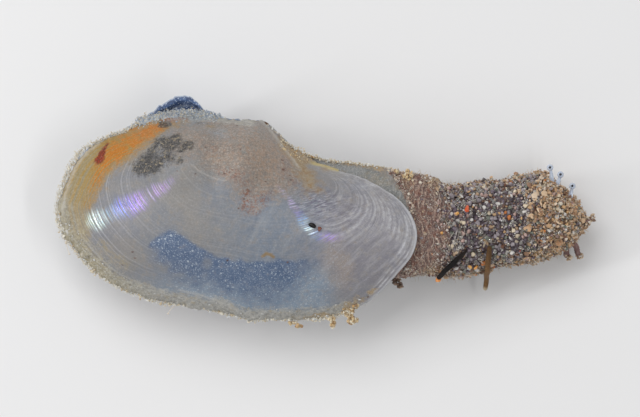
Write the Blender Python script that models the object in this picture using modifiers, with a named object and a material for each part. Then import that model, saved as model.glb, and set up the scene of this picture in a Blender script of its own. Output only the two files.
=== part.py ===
"""Lantern clam: two thin valves, the hinge ligament, the soft body with its siphon, the sleeve of sand
on the siphon, and the twigs, grains and crumbs that cling to the specimen.

Metres, +Z up. The clam lies on its right valve: +X points to the siphon (posterior), +Y to the hinge
(dorsal). The origin is under the middle of the whole specimen, on the surface that it lies on."""

import math

import bmesh
import bpy
import numpy as np
from mathutils import Vector

# ------------------------------------------------------------------ driving dimensions, in metres
MM = 0.001
CENTRE_SHIFT = (0.253, -0.041)  # moves the drawing's origin to the middle of the specimen, in mm
VALVE_DEPTH = 4.05  # outer depth of each valve, mm
SHELL_THICKNESS = 0.28  # mm
LIP = 0.24  # how far each outer margin stands off the commissure plane, mm
FLAT_SINK = 0.12  # how much of the right valve's belly the flat resting patch takes off, mm
COMMISSURE_Z = VALVE_DEPTH - FLAT_SINK  # height of the plane in which the valves meet, mm
VALVE_SEGMENTS = 64
VALVE_RINGS = 10
DOME_CENTRE = (-5.9, -0.15)  # plan position of the deepest point of both valves, mm
SLEEVE_THICKNESS = 0.42  # sand sleeve, mm
BODY_GAP = 0.12  # clearance between the flesh and what covers it, mm
TWIG_DARK_RADIUS = 0.14
TWIG_BROWN_RADIUS = 0.15

# Margin of the left valve in plan, mm, from the anterior end over the hinge and back along the belly.
LEFT_MARGIN = [
    (-14.80, 0.10), (-14.65, 0.80), (-14.30, 1.65), (-13.80, 2.60), (-13.15, 3.30),
    (-12.35, 3.85), (-11.40, 4.25), (-10.60, 4.60), (-9.70, 5.00), (-8.30, 5.25),
    (-6.70, 5.35), (-5.30, 5.12), (-4.20, 5.06), (-3.50, 4.98), (-2.85, 4.55),
    (-2.10, 3.80), (-1.20, 3.18), (-0.40, 2.68), (0.55, 2.28), (1.95, 1.88),
    (3.35, 1.15), (4.28, 0.44), (4.90, -0.45), (5.10, -1.40), (4.85, -2.40),
    (4.18, -3.28), (3.28, -4.30), (2.35, -5.05), (1.10, -5.62), (-0.80, -5.98),
    (-2.80, -6.05), (-4.20, -6.02), (-5.60, -5.68), (-7.50, -5.33), (-9.45, -4.92),
    (-11.10, -4.40), (-12.50, -3.62), (-13.50, -2.60), (-14.35, -1.50),
]  # fmt: skip
# The right valve keeps its whole antero-dorsal margin, a hump that the left one has lost.
RIGHT_MARGIN = [
    (-14.98, 0.10), (-14.85, 0.85), (-14.52, 1.75), (-14.05, 2.75), (-13.35, 3.50),
    (-12.50, 4.05), (-11.45, 4.45), (-10.60, 4.85), (-9.75, 5.45), (-8.95, 6.02),
    (-7.90, 6.44), (-7.15, 6.12), (-6.55, 5.50), (-5.30, 5.14), (-4.20, 5.06),
    (-3.50, 4.98), (-2.85, 4.55), (-2.10, 3.80), (-1.20, 3.18), (-0.40, 2.68),
    (0.55, 2.28), (1.95, 1.88), (3.30, 1.10), (4.15, 0.40), (4.72, -0.45),
    (4.90, -1.40), (4.65, -2.35), (4.00, -3.18), (3.10, -4.15), (2.20, -4.85),
    (1.00, -5.40), (-0.80, -5.75), (-2.80, -5.82), (-4.20, -5.78), (-5.60, -5.46),
    (-7.50, -5.12), (-9.45, -4.72), (-11.10, -4.22), (-12.50, -3.48), (-13.55, -2.52),
    (-14.45, -1.45),
]  # fmt: skip
# Posterior gape: how far a margin stands further off the commissure plane, by its plan position
# (x, y, offset), mm. Elsewhere the valves meet.
GAPE = [
    (-2.1, 3.8, 0.0), (-1.2, 3.2, 0.12), (-0.4, 2.7, 0.38), (0.55, 2.3, 0.75), (1.95, 1.9, 1.25),
    (3.35, 1.15, 1.65), (4.3, 0.4, 1.85), (5.1, -1.4, 1.95), (4.85, -2.4, 1.85),
    (4.2, -3.3, 1.55), (3.3, -4.3, 0.95), (2.3, -5.05, 0.4), (1.1, -5.6, 0.1), (0.2, -5.8, 0.0),
]  # fmt: skip
# Sand sleeve: stations along the siphon, mm: x, dorsal edge y, ventral edge y, underside z, top z.
SLEEVE = [
    (4.30, 2.20, -3.75, 2.62, 5.45),
    (5.00, 2.12, -3.62, 2.40, 5.42),
    (5.80, 1.95, -3.60, 1.70, 5.30),
    (6.65, 1.60, -3.75, 0.85, 5.05),
    (7.40, 1.55, -3.72, 0.22, 4.82),
    (8.20, 1.65, -3.62, 0.00, 4.65),
    (9.20, 1.66, -3.30, 0.00, 4.52),
    (10.20, 1.78, -3.05, 0.00, 4.48),
    (11.20, 2.15, -2.92, 0.00, 4.50),
    (12.20, 2.10, -2.75, 0.00, 4.45),
    (13.05, 1.55, -2.35, 0.06, 4.20),
    (13.75, 0.85, -1.90, 0.42, 3.72),
    (14.22, 0.20, -1.42, 1.05, 3.05),
]  # fmt: skip
SLEEVE_SEGMENTS = 32
# Soft body inside the shell: x, dorsal edge y, ventral edge y, mm. Behind x = 0.7 the dorsal edge
# is the smooth strip that bridges the valves past their margins.
BODY = [
    (-13.3, 1.6, -1.0), (-12.5, 2.7, -2.3), (-11.2, 3.35, -3.2), (-9.4, 4.0, -3.95),
    (-7.4, 4.2, -4.4), (-5.4, 4.05, -4.75), (-3.6, 3.75, -4.95), (-2.0, 2.75, -5.0),
    (-0.7, 2.2, -4.95), (0.1, 2.3, -4.85), (0.7, 2.78, -4.75), (1.4, 2.70, -4.55),
    (2.2, 2.55, -4.2), (3.0, 2.42, -3.75), (3.75, 2.30, -3.30),
]  # fmt: skip
LIGAMENT_AT = (-3.62, 4.80)  # plan position, mm
LIGAMENT_SIZE = (1.30, 0.72, 0.62)  # mm


def clear_scene():
    for ob in list(bpy.data.objects):
        bpy.data.objects.remove(ob, do_unlink=True)


def collection(name):
    col = bpy.data.collections.new(name)
    bpy.context.scene.collection.children.link(col)
    return col


def material(name, colour, roughness, metallic=0.0):
    mat = bpy.data.materials.new(name)
    mat.use_nodes = True
    shader = mat.node_tree.nodes["Principled BSDF"]
    shader.inputs["Base Color"].default_value = (*colour, 1.0)
    shader.inputs["Roughness"].default_value = roughness
    shader.inputs["Metallic"].default_value = metallic
    return mat


def smooth_closed(points, per_span=12):
    """A closed Catmull-Rom curve through hand-placed points."""
    p = np.array(points, float)
    n = len(p)
    out = []
    for i in range(n):
        a, b, c, d = p[(i - 1) % n], p[i], p[(i + 1) % n], p[(i + 2) % n]
        for k in range(per_span):
            s = k / per_span
            out.append(
                0.5
                * (
                    2 * b
                    + (c - a) * s
                    + (2 * a - 5 * b + 4 * c - d) * s * s
                    + (3 * b - a - 3 * c + d) * s**3
                )
            )
    return np.array(out)


class Margin:
    """A valve's margin seen from its dome centre, and the rings of growth that lead out to it.

    The rings start as the margin's own smoothed oval and take its exact shape only near the edge."""

    def __init__(self, points):
        curve = smooth_closed(points) - np.array(DOME_CENTRE)
        angle = np.arctan2(curve[:, 1], curve[:, 0])
        order = np.argsort(angle)
        self.angle = angle[order]
        self.radius = np.hypot(curve[:, 0], curve[:, 1])[order]
        window = np.radians(np.arange(-60, 61, 4))
        weight = 1.0 + np.cos(window * 3.0)
        self.even = np.radians(np.arange(-180, 180, 2))
        self.oval = [np.sum(self.edge(a + window) * weight) / weight.sum() for a in self.even]

    def edge(self, angle):
        return np.interp(angle, self.angle, self.radius, period=2 * math.pi)

    def reach(self, angle, t):
        """Distance from the dome centre at t of the way out."""
        oval = np.interp(angle, self.even, self.oval, period=2 * math.pi)
        edge = self.edge(angle)
        return t * (min(oval, edge * 1.25) * (1.0 - t**3) + edge * t**3)

    def way_out(self, x, y):
        """The angle and t of a plan position."""
        dx, dy = x - DOME_CENTRE[0], y - DOME_CENTRE[1]
        angle, far = math.atan2(dy, dx), math.hypot(dx, dy)
        low, high = 0.0, 1.0
        for _ in range(30):
            t = (low + high) / 2
            low, high = (t, high) if self.reach(angle, t) < far else (low, t)
        return angle, (low + high) / 2


GAPE_ANGLE = np.array([math.atan2(y - DOME_CENTRE[1], x - DOME_CENTRE[0]) for x, y, _ in GAPE])
GAPE_ORDER = np.argsort(GAPE_ANGLE)
GAPE_OFFSET = np.array([g[2] for g in GAPE])


def gape(angle):
    angle = (angle + math.pi) % (2 * math.pi) - math.pi
    return float(
        np.interp(angle, GAPE_ANGLE[GAPE_ORDER], GAPE_OFFSET[GAPE_ORDER], left=0.0, right=0.0)
    )


def bump(angle, middle, width):
    d = (angle - middle + math.pi) % (2 * math.pi) - math.pi
    return math.exp(-((d / width) ** 2))


UMBO_ANGLE = math.atan2(4.9 - DOME_CENTRE[1], -3.6 - DOME_CENTRE[0])


def steepness(angle):
    """How full the valve is in one direction: high numbers stay deep and then drop steeply."""
    return 2.25 + 2.6 * bump(angle, UMBO_ANGLE, 0.34) + 0.7 * bump(angle, math.radians(125), 0.6)


def height(angle, t):
    """Height of a valve's outer surface over the commissure plane, at t of the way to its margin."""
    return (LIP + gape(angle)) * t * t + VALVE_DEPTH * (1.0 - t ** steepness(angle))


def plan_height(margin, x, y):
    """The same at a plan position."""
    return height(*margin.way_out(x, y))


def room_inside(margin, x, y):
    """How far the flesh may reach from the commissure plane under a valve at a plan position."""
    here = plan_height(margin, x, y)
    slope = math.hypot(
        (plan_height(margin, x + 0.1, y) - plan_height(margin, x - 0.1, y)) / 0.2,
        (plan_height(margin, x, y + 0.1) - plan_height(margin, x, y - 0.1)) / 0.2,
    )
    return max(0.05, here - (SHELL_THICKNESS + BODY_GAP) * math.hypot(1.0, slope) - 0.06)


def place(x, y, z):
    return Vector(((x + CENTRE_SHIFT[0]) * MM, (y + CENTRE_SHIFT[1]) * MM, z * MM))


def link(mesh, name, col, mat):
    ob = bpy.data.objects.new(name, mesh)
    col.objects.link(ob)
    if mat is not None:
        mesh.materials.append(mat)
    return ob


def smooth_shade(ob, degrees=40):
    ob.data.shade_smooth()
    ob.data.set_sharp_from_angle(angle=math.radians(degrees))


def apply_modifiers(ob, col):
    """The object with its modifiers made part of a new mesh of its own."""
    bpy.context.view_layer.update()
    graph = bpy.context.evaluated_depsgraph_get()
    mesh = bpy.data.meshes.new_from_object(ob.evaluated_get(graph))
    name, mat = ob.name, ob.data.materials[0] if ob.data.materials else None
    matrix = ob.matrix_world.copy()
    bpy.data.objects.remove(ob, do_unlink=True)
    new = bpy.data.objects.new(name, mesh)
    new.matrix_world = matrix
    if mat is not None and not mesh.materials:
        mesh.materials.append(mat)
    col.objects.link(new)
    return new


def valve(name, margin, side, col, mat):
    """A dome from half a sphere, stretched to the margin and given its thickness on the inside."""
    bm = bmesh.new()
    bmesh.ops.create_uvsphere(
        bm, u_segments=VALVE_SEGMENTS, v_segments=2 * VALVE_RINGS, radius=1.0
    )
    lower = [v for v in bm.verts if v.co.z < -1e-4]
    bmesh.ops.delete(bm, geom=lower, context="VERTS")
    for v in bm.verts:
        polar = math.acos(max(-1.0, min(1.0, v.co.z)))
        t = min(1.0, polar / (math.pi / 2))
        angle = math.atan2(v.co.y, v.co.x) if t > 1e-6 else 0.0
        reach = margin.reach(angle, t)
        z = max(0.0, COMMISSURE_Z + side * height(angle, t))
        v.co = place(
            DOME_CENTRE[0] + reach * math.cos(angle),
            DOME_CENTRE[1] + reach * math.sin(angle),
            z,
        )
    bmesh.ops.recalc_face_normals(bm, faces=bm.faces)
    up = sum(f.normal.z * f.calc_area() for f in bm.faces)
    if up * side < 0:
        bmesh.ops.reverse_faces(bm, faces=bm.faces)
    mesh = bpy.data.meshes.new(name)
    bm.to_mesh(mesh)
    bm.free()
    ob = link(mesh, name, col, mat)
    solid = ob.modifiers.new("thickness", "SOLIDIFY")
    solid.thickness = SHELL_THICKNESS * MM
    solid.offset = -1.0
    solid.use_even_offset = False
    smooth_shade(ob)
    return ob


def sections(stations, segments, name, col, mat, ends, power=2.0):
    """A body along X: rings of a sphere or of a rolled-up grid, each stretched to its station.

    A station is x, y of the middle, z of the middle, half width, half height up, half height down
    and the ring's fullness."""
    bm = bmesh.new()
    if ends:
        bmesh.ops.create_uvsphere(
            bm, u_segments=segments, v_segments=len(stations) + 1, radius=1.0
        )
        for v in bm.verts:
            polar = math.acos(max(-1.0, min(1.0, v.co.z)))
            k = round(polar / math.pi * (len(stations) + 1))
            if k == 0 or k == len(stations) + 1:
                end = ends[0] if k == 0 else ends[1]
                v.co = place(*end)
            else:
                around = math.atan2(v.co.y, v.co.x)
                v.co = ring_point(stations[k - 1], around)
    else:
        bmesh.ops.create_grid(
            bm, x_segments=len(stations) - 1, y_segments=segments, size=1.0
        )
        for v in bm.verts:
            k = round((v.co.x + 1.0) / 2.0 * (len(stations) - 1))
            around = (v.co.y + 1.0) * math.pi
            v.co = ring_point(stations[k], around)
        bmesh.ops.remove_doubles(bm, verts=bm.verts, dist=1e-7)
    bmesh.ops.recalc_face_normals(bm, faces=bm.faces)
    middle = np.mean([v.co for v in bm.verts], axis=0)
    out = sum(
        f.normal.dot(f.calc_center_median() - Vector(middle)) * f.calc_area() for f in bm.faces
    )
    if out < 0:
        bmesh.ops.reverse_faces(bm, faces=bm.faces)
    mesh = bpy.data.meshes.new(name)
    bm.to_mesh(mesh)
    bm.free()
    ob = link(mesh, name, col, mat)
    smooth_shade(ob)
    return ob


def ring_point(station, around):
    x, y, z, wide, up, down, full = station[:7]
    c, s = math.cos(around), math.sin(around)
    px = math.copysign(abs(c) ** (2.0 / full), c)
    pz = math.copysign(abs(s) ** (2.0 / full), s)
    py = y + wide * px
    pz = z + (up if pz > 0 else down) * pz
    if len(station) > 7:
        low, high = station[7](x, py), station[8](x, py)
        pz = min(max(pz, low), high)
    return place(x, py, max(pz, 0.0))


def sleeve_station(row):
    x, top, bottom, low, high = row
    tall = (high - low) / 2
    return (x, (top + bottom) / 2, (low + high) / 2, (top - bottom) / 2, tall, tall, 2.3)


def flesh_station(k):
    """The flesh at a station of the sleeve: clear of the sleeve's wall, more so where it slants."""
    before, here, after = SLEEVE[max(k - 1, 0)], SLEEVE[k], SLEEVE[min(k + 1, len(SLEEVE) - 1)]
    row = [here[0]]
    for i, inward in ((1, -1), (2, 1), (3, 1), (4, -1)):
        slope = (after[i] - before[i]) / (after[0] - before[0])
        row.append(
            here[i] + inward * (SLEEVE_THICKNESS + BODY_GAP) * math.hypot(1.0, 1.4 * slope)
        )
    return sleeve_station(row)


def sleeve_point(x, y, out):
    """A point over the sleeve's upper surface at a plan position, `out` mm off it."""
    xs = [r[0] for r in SLEEVE]
    row = [np.interp(x, xs, [r[i] for r in SLEEVE]) for i in range(1, 5)]
    mid_y, mid_z = (row[0] + row[1]) / 2, (row[2] + row[3]) / 2
    wide, tall = (row[0] - row[1]) / 2 + out, (row[3] - row[2]) / 2 + out
    q = min(1.0, abs(y - mid_y) / wide)
    return (x, y, mid_z + tall * (1.0 - q**2.3) ** (1 / 2.3))


def tube(name, points, radius, col, mat):
    data = bpy.data.curves.new(name, "CURVE")
    data.dimensions = "3D"
    spline = data.splines.new("POLY")
    spline.points.add(len(points) - 1)
    for point, at in zip(spline.points, points):
        point.co = (*place(*at), 1.0)
    data.bevel_depth = radius * MM
    data.bevel_resolution = 2
    data.use_fill_caps = True
    ob = bpy.data.objects.new(name, data)
    col.objects.link(ob)
    data.materials.append(mat)
    return ob


def lump(name, at, size, turn, seed, col, mat, detail=2, rough=0.12):
    """An uneven crumb: an icosphere with a few smooth dents, stretched and turned."""
    bm = bmesh.new()
    bmesh.ops.create_icosphere(bm, subdivisions=detail, radius=1.0)
    rng = np.random.default_rng(seed)
    waves = rng.normal(size=(5, 3)) * 2.2
    phase = rng.uniform(0, 6.28, 5)
    c, s = math.cos(turn), math.sin(turn)
    for v in bm.verts:
        n = np.array(v.co)
        k = 1.0 + rough * float(np.sin(waves @ n + phase).sum()) / 2.0
        x, y, z = n * k * np.array(size) / 2
        v.co = place(at[0] + x * c - y * s, at[1] + x * s + y * c, at[2] + z)
    mesh = bpy.data.meshes.new(name)
    bm.to_mesh(mesh)
    bm.free()
    ob = link(mesh, name, col, mat)
    smooth_shade(ob)
    return ob


def main():
    clear_scene()
    parts = collection("lantern_clam")
    cutters = collection("cutters")
    left_margin, right_margin = Margin(LEFT_MARGIN), Margin(RIGHT_MARGIN)

    nacre = material("valve_left", (0.33, 0.33, 0.36), 0.28)
    nacre_far = material("valve_right", (0.26, 0.31, 0.40), 0.30)
    horny = material("ligament", (0.10, 0.05, 0.02), 0.5)
    flesh = material("soft_body", (0.34, 0.29, 0.28), 0.5)
    sand = material("sand", (0.35, 0.30, 0.26), 0.8)
    black = material("black_bark", (0.02, 0.017, 0.015), 0.6)
    brown = material("brown_bark", (0.20, 0.11, 0.05), 0.7)
    seed = material("black_grain", (0.01, 0.01, 0.01), 0.4)
    red = material("red_chip", (0.60, 0.12, 0.05), 0.5)
    crust = material("crust", (0.45, 0.38, 0.28), 0.85)

    left = valve("left_valve", left_margin, 1, parts, nacre)
    right = valve("right_valve", right_margin, -1, parts, nacre_far)

    # The hinge notch goes through both margins under the umbones, and the ligament fills it.
    notch = bmesh.new()
    bmesh.ops.create_cube(notch, size=1.0)
    for v in notch.verts:
        v.co = place(
            LIGAMENT_AT[0] + v.co.x * (LIGAMENT_SIZE[0] + 2 * BODY_GAP),
            LIGAMENT_AT[1] + 0.2 + v.co.y * (LIGAMENT_SIZE[1] + 0.4 + 2 * BODY_GAP),
            COMMISSURE_Z + v.co.z * (LIGAMENT_SIZE[2] + 2 * BODY_GAP),
        )
    mesh = bpy.data.meshes.new("hinge_notch")
    notch.to_mesh(mesh)
    notch.free()
    cutter = link(mesh, "hinge_notch", cutters, None)
    cutter.hide_render = True
    cutter.display_type = "WIRE"
    for ob in (left, right):
        cut = ob.modifiers.new("notch", "BOOLEAN")
        cut.operation = "DIFFERENCE"
        cut.solver = "EXACT"
        cut.object = cutter

    pad = bmesh.new()
    bmesh.ops.create_cube(pad, size=1.0)
    for v in pad.verts:
        v.co = Vector([v.co[i] * LIGAMENT_SIZE[i] * MM for i in range(3)])
    mesh = bpy.data.meshes.new("ligament")
    pad.to_mesh(mesh)
    pad.free()
    ligament = link(mesh, "ligament", parts, horny)
    ligament.location = place(LIGAMENT_AT[0], LIGAMENT_AT[1], COMMISSURE_Z)
    edge = ligament.modifiers.new("edge", "BEVEL")
    edge.width = 0.16 * MM
    edge.segments = 3
    smooth_shade(ligament)

    # Flesh: in the shell it stays under both domes, then it runs down the sleeve to its open tip.
    def ceiling(x, y):
        return COMMISSURE_Z + room_inside(left_margin, x, y)

    def floor(x, y):
        return COMMISSURE_Z - room_inside(right_margin, x, y)

    stations = []
    for x, top, bottom in BODY:
        mid = (top + bottom) / 2
        depth = room_inside(left_margin, x, mid) * 0.92
        stations.append(
            (x, mid, COMMISSURE_Z, (top - bottom) / 2, depth, depth, 1.7, floor, ceiling)
        )
    stations += [flesh_station(k) for k in range(len(SLEEVE))]
    first, last = BODY[0], SLEEVE[-1]
    sections(
        stations,
        32,
        "soft_body",
        parts,
        flesh,
        (
            (first[0] - 0.35, (first[1] + first[2]) / 2, COMMISSURE_Z),
            (last[0] + 0.2, (last[1] + last[2]) / 2, (last[3] + last[4]) / 2),
        ),
    )

    sleeve = sections(
        [sleeve_station(row) for row in SLEEVE], SLEEVE_SEGMENTS, "sand_coat", parts, sand, None
    )
    wall = sleeve.modifiers.new("wall", "SOLIDIFY")
    wall.thickness = SLEEVE_THICKNESS * MM
    wall.offset = -1.0

    # Twigs lie on the sleeve's upper side; the brown one runs out past its ventral edge.
    out = TWIG_DARK_RADIUS + 0.07
    tube(
        "twig_dark",
        [
            sleeve_point(7.90, -2.15, out),
            sleeve_point(7.30, -2.75, out),
            sleeve_point(6.72, -3.28, out),
            (6.30, -3.72, 4.05),
        ],
        TWIG_DARK_RADIUS,
        parts,
        black,
    )
    out = TWIG_BROWN_RADIUS + 0.07
    tube(
        "twig_brown",
        [
            sleeve_point(9.12, -2.00, out),
            sleeve_point(9.08, -2.75, out),
            sleeve_point(9.04, -3.20, out + 0.03),
            (9.00, -3.75, 2.45),
            (8.95, -4.35, 1.75),
        ],
        TWIG_BROWN_RADIUS,
        parts,
        brown,
    )

    # Grains and crumbs.
    x, y = -0.72, -0.78
    h = plan_height(left_margin, x, y)
    lump(
        "grain_black", (x, y, COMMISSURE_Z + h + 0.17), (0.46, 0.24, 0.2), -0.45, 3, parts, seed,
        detail=1, rough=0.05,
    )  # fmt: skip
    x, y, z = sleeve_point(7.90, 0.12, 0.16)
    lump("chip_red", (x, y, z), (0.30, 0.50, 0.18), 0.2, 5, parts, red, detail=1, rough=0.1)
    lump(
        "debris_hinge", (-7.95, 5.66, COMMISSURE_Z + 0.42), (3.3, 0.62, 0.42), 0.02, 8, parts, crust
    )
    lump(
        "debris_ventral", (1.42, -5.90, COMMISSURE_Z + 0.02), (0.85, 0.95, 0.6), 0.3, 11, parts, crust
    )


main()
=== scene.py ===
"""Looks of the lantern clam: valves, membrane, wrinkled sheath, sand, twigs and crumbs.

Lengths in the helpers are millimetres; meshes are written in metres. Plan positions of markings are
given on a drawing with 18 units to the millimetre, x to the siphon and y towards the belly."""

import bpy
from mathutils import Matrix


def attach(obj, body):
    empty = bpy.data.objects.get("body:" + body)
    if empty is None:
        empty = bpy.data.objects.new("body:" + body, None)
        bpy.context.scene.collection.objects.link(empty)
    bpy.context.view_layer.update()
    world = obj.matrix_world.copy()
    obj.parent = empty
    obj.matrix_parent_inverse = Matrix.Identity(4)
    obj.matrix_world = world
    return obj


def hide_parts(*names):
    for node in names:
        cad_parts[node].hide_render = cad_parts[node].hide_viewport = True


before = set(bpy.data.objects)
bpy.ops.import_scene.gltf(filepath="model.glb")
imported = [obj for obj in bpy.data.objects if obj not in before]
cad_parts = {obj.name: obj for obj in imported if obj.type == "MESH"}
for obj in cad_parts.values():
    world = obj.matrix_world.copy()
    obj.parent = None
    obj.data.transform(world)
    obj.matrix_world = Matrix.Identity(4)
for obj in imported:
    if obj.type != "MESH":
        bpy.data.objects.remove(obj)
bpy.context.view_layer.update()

import math

import bmesh
import bpy
import numpy as np
from mathutils import Vector

MM = 0.001
SHIFT = np.array([0.253, -0.041])
DEPTH = 4.05
SINK = 0.12
ZC = DEPTH - SINK
D0 = np.array([-5.9, -0.15])


def to_plan(px, py):
    """Drawing units to millimetres in the row frame."""
    return np.array([(px - 325.0) / 18.0, (211.0 - py) / 18.0]) + SHIFT


def from_plan(x, y):
    return (x - SHIFT[0]) * 18.0 + 325.0, 211.0 - (y - SHIFT[1]) * 18.0


# ------------------------------------------------------------------------------------ small maths
def smooth(lo, hi, x):
    t = np.clip((np.asarray(x, float) - lo) / (hi - lo), 0.0, 1.0)
    return t * t * (3 - 2 * t)


def lattice(ix, iy, iz, seed):
    h = (
        ix.astype(np.int64) * 374761393
        + iy.astype(np.int64) * 668265263
        + iz.astype(np.int64) * 2147483647
        + seed * 1274126177
    ) & 0xFFFFFFFF
    h = ((h ^ (h >> 13)) * 1274126177) & 0xFFFFFFFF
    h = ((h ^ (h >> 15)) * 2246822519) & 0xFFFFFFFF
    return ((h ^ (h >> 16)) & 0xFFFFFF) / float(0xFFFFFF) * 2.0 - 1.0


def noise(p, seed=0):
    """Smooth value noise, -1 to 1, at an (n, 3) or (n, 2) array of places."""
    p = np.atleast_2d(np.asarray(p, float))
    if p.shape[1] == 2:
        p = np.column_stack([p, np.zeros(len(p))])
    i = np.floor(p).astype(np.int64)
    f = p - i
    f = f * f * f * (f * (f * 6 - 15) + 10)
    out = 0
    for dx in (0, 1):
        wx = f[:, 0] if dx else 1 - f[:, 0]
        for dy in (0, 1):
            wy = f[:, 1] if dy else 1 - f[:, 1]
            for dz in (0, 1):
                wz = f[:, 2] if dz else 1 - f[:, 2]
                out = out + wx * wy * wz * lattice(
                    i[:, 0] + dx, i[:, 1] + dy, i[:, 2] + dz, seed
                )
    return out


def fbm(p, octaves=4, seed=0, gain=0.5):
    p = np.atleast_2d(np.asarray(p, float))
    out, amp, total = 0, 1.0, 0.0
    for k in range(octaves):
        out = out + amp * noise(p * 2.0**k + 17.3 * k, seed + k)
        total += amp
        amp *= gain
    return out / total


def smooth_closed(points, per_span=12):
    p = np.array(points, float)
    n = len(p)
    out = []
    for i in range(n):
        a, b, c, d = p[(i - 1) % n], p[i], p[(i + 1) % n], p[(i + 2) % n]
        for k in range(per_span):
            s = k / per_span
            out.append(
                0.5
                * (
                    2 * b
                    + (c - a) * s
                    + (2 * a - 5 * b + 4 * c - d) * s * s
                    + (3 * b - a - 3 * c + d) * s**3
                )
            )
    return np.array(out)


# ------------------------------------------------------------------------------- the valves' shape
LEFT_MARGIN = [
    (-14.80, 0.10), (-14.65, 0.80), (-14.30, 1.65), (-13.80, 2.60), (-13.15, 3.30),
    (-12.35, 3.85), (-11.40, 4.25), (-10.60, 4.60), (-9.70, 5.00), (-8.30, 5.25),
    (-6.70, 5.35), (-5.30, 5.12), (-4.20, 5.06), (-3.50, 4.98), (-2.85, 4.55),
    (-2.10, 3.80), (-1.20, 3.18), (-0.40, 2.68), (0.55, 2.28), (1.95, 1.88),
    (3.35, 1.15), (4.28, 0.44), (4.90, -0.45), (5.10, -1.40), (4.85, -2.40),
    (4.18, -3.28), (3.28, -4.30), (2.35, -5.05), (1.10, -5.62), (-0.80, -5.98),
    (-2.80, -6.05), (-4.20, -6.02), (-5.60, -5.68), (-7.50, -5.33), (-9.45, -4.92),
    (-11.10, -4.40), (-12.50, -3.62), (-13.50, -2.60), (-14.35, -1.50),
]  # fmt: skip
RIGHT_MARGIN = [
    (-14.82, 0.10), (-14.67, 0.81), (-14.33, 1.67), (-13.86, 2.65), (-13.25, 3.40),
    (-12.46, 3.98), (-11.45, 4.42), (-10.60, 4.85), (-9.75, 5.45), (-8.95, 6.02),
    (-7.90, 6.44), (-7.15, 6.12), (-6.55, 5.50), (-5.30, 5.14), (-4.20, 5.06),
    (-3.50, 4.98), (-2.85, 4.55), (-2.10, 3.80), (-1.20, 3.18), (-0.40, 2.68),
    (0.55, 2.28), (1.95, 1.88), (3.30, 1.10), (4.15, 0.40), (4.72, -0.45),
    (4.90, -1.40), (4.65, -2.35), (4.00, -3.18), (3.10, -4.15), (2.20, -4.85),
    (1.00, -5.40), (-0.80, -5.75), (-2.80, -5.82), (-4.20, -5.78), (-5.60, -5.46),
    (-7.50, -5.12), (-9.45, -4.72), (-11.10, -4.22), (-12.50, -3.48), (-13.55, -2.52),
    (-14.36, -1.49),
]  # fmt: skip
GAPE = [
    (-2.1, 3.8, 0.0), (-1.2, 3.2, 0.12), (-0.4, 2.7, 0.38), (0.55, 2.3, 0.75), (1.95, 1.9, 1.25),
    (3.35, 1.15, 1.65), (4.3, 0.4, 1.85), (5.1, -1.4, 1.95), (4.85, -2.4, 1.85),
    (4.2, -3.3, 1.55), (3.3, -4.3, 0.95), (2.3, -5.05, 0.4), (1.1, -5.6, 0.1), (0.2, -5.8, 0.0),
]  # fmt: skip


class Margin:
    """A valve's margin seen from its dome centre, and the rings that lead out to it."""

    def __init__(self, points):
        self.curve = smooth_closed(points)
        rel = self.curve - D0
        angle = np.arctan2(rel[:, 1], rel[:, 0])
        order = np.argsort(angle)
        self.angle = angle[order]
        self.radius = np.hypot(rel[:, 0], rel[:, 1])[order]
        window = np.radians(np.arange(-60, 61, 4))
        weight = 1.0 + np.cos(window * 3.0)
        self.even = np.radians(np.arange(-180, 180, 2))
        self.oval = np.array(
            [np.sum(self.edge(a + window) * weight) / weight.sum() for a in self.even]
        )

    def edge(self, angle):
        return np.interp(angle, self.angle, self.radius, period=2 * math.pi)

    def reach(self, angle, t):
        oval = np.interp(angle, self.even, self.oval, period=2 * math.pi)
        edge = self.edge(angle)
        return t * (np.minimum(oval, edge * 1.25) * (1.0 - t**3) + edge * t**3)

    def way_out(self, x, y):
        """Angle and t of places given in the margin's own plan, in millimetres."""
        dx, dy = np.asarray(x, float) - D0[0], np.asarray(y, float) - D0[1]
        angle, far = np.arctan2(dy, dx), np.hypot(dx, dy)
        low, high = np.zeros_like(far), np.ones_like(far)
        for _ in range(26):
            t = (low + high) / 2
            inside = self.reach(angle, t) < far
            low, high = np.where(inside, t, low), np.where(inside, high, t)
        return angle, (low + high) / 2

    def spaced_angles(self, n):
        """n directions, spread half by angle and half by length of margin."""
        a = np.linspace(-math.pi, math.pi, 4001)
        r = self.edge(a)
        x, y = r * np.cos(a), r * np.sin(a)
        step = np.hypot(np.diff(x), np.diff(y))
        length = np.concatenate([[0], np.cumsum(step)])
        mixed = 0.25 * (a + math.pi) / (2 * math.pi) + 0.75 * length / length[-1]
        return np.interp(np.arange(n) / n, mixed, a)


GAPE_A = np.array([math.atan2(y - D0[1], x - D0[0]) for x, y, _ in GAPE])
GAPE_ORDER = np.argsort(GAPE_A)
GAPE_Z = np.array([g[2] for g in GAPE])


def gape(angle):
    angle = (np.asarray(angle) + math.pi) % (2 * math.pi) - math.pi
    return np.interp(angle, GAPE_A[GAPE_ORDER], GAPE_Z[GAPE_ORDER], left=0.0, right=0.0)


def bump_at(angle, middle, width):
    d = (angle - middle + math.pi) % (2 * math.pi) - math.pi
    return np.exp(-((d / width) ** 2))


UMBO_A = math.atan2(4.9 - D0[1], -3.6 - D0[0])
LIP = 0.03


def steepness(angle):
    return (
        2.25
        + 2.6 * bump_at(angle, UMBO_A, 0.34)
        + 0.7 * bump_at(angle, math.radians(125), 0.6)
    )


def height(angle, t):
    return (LIP + gape(angle)) * t * t + DEPTH * (1.0 - t ** steepness(angle))


LEFT, RIGHT = Margin(LEFT_MARGIN), Margin(RIGHT_MARGIN)


def left_height(x, y):
    """Height of the left valve's smooth outer surface at a place in the row frame, mm."""
    a, t = LEFT.way_out(np.asarray(x) - SHIFT[0], np.asarray(y) - SHIFT[1])
    return ZC + height(a, t)


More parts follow.
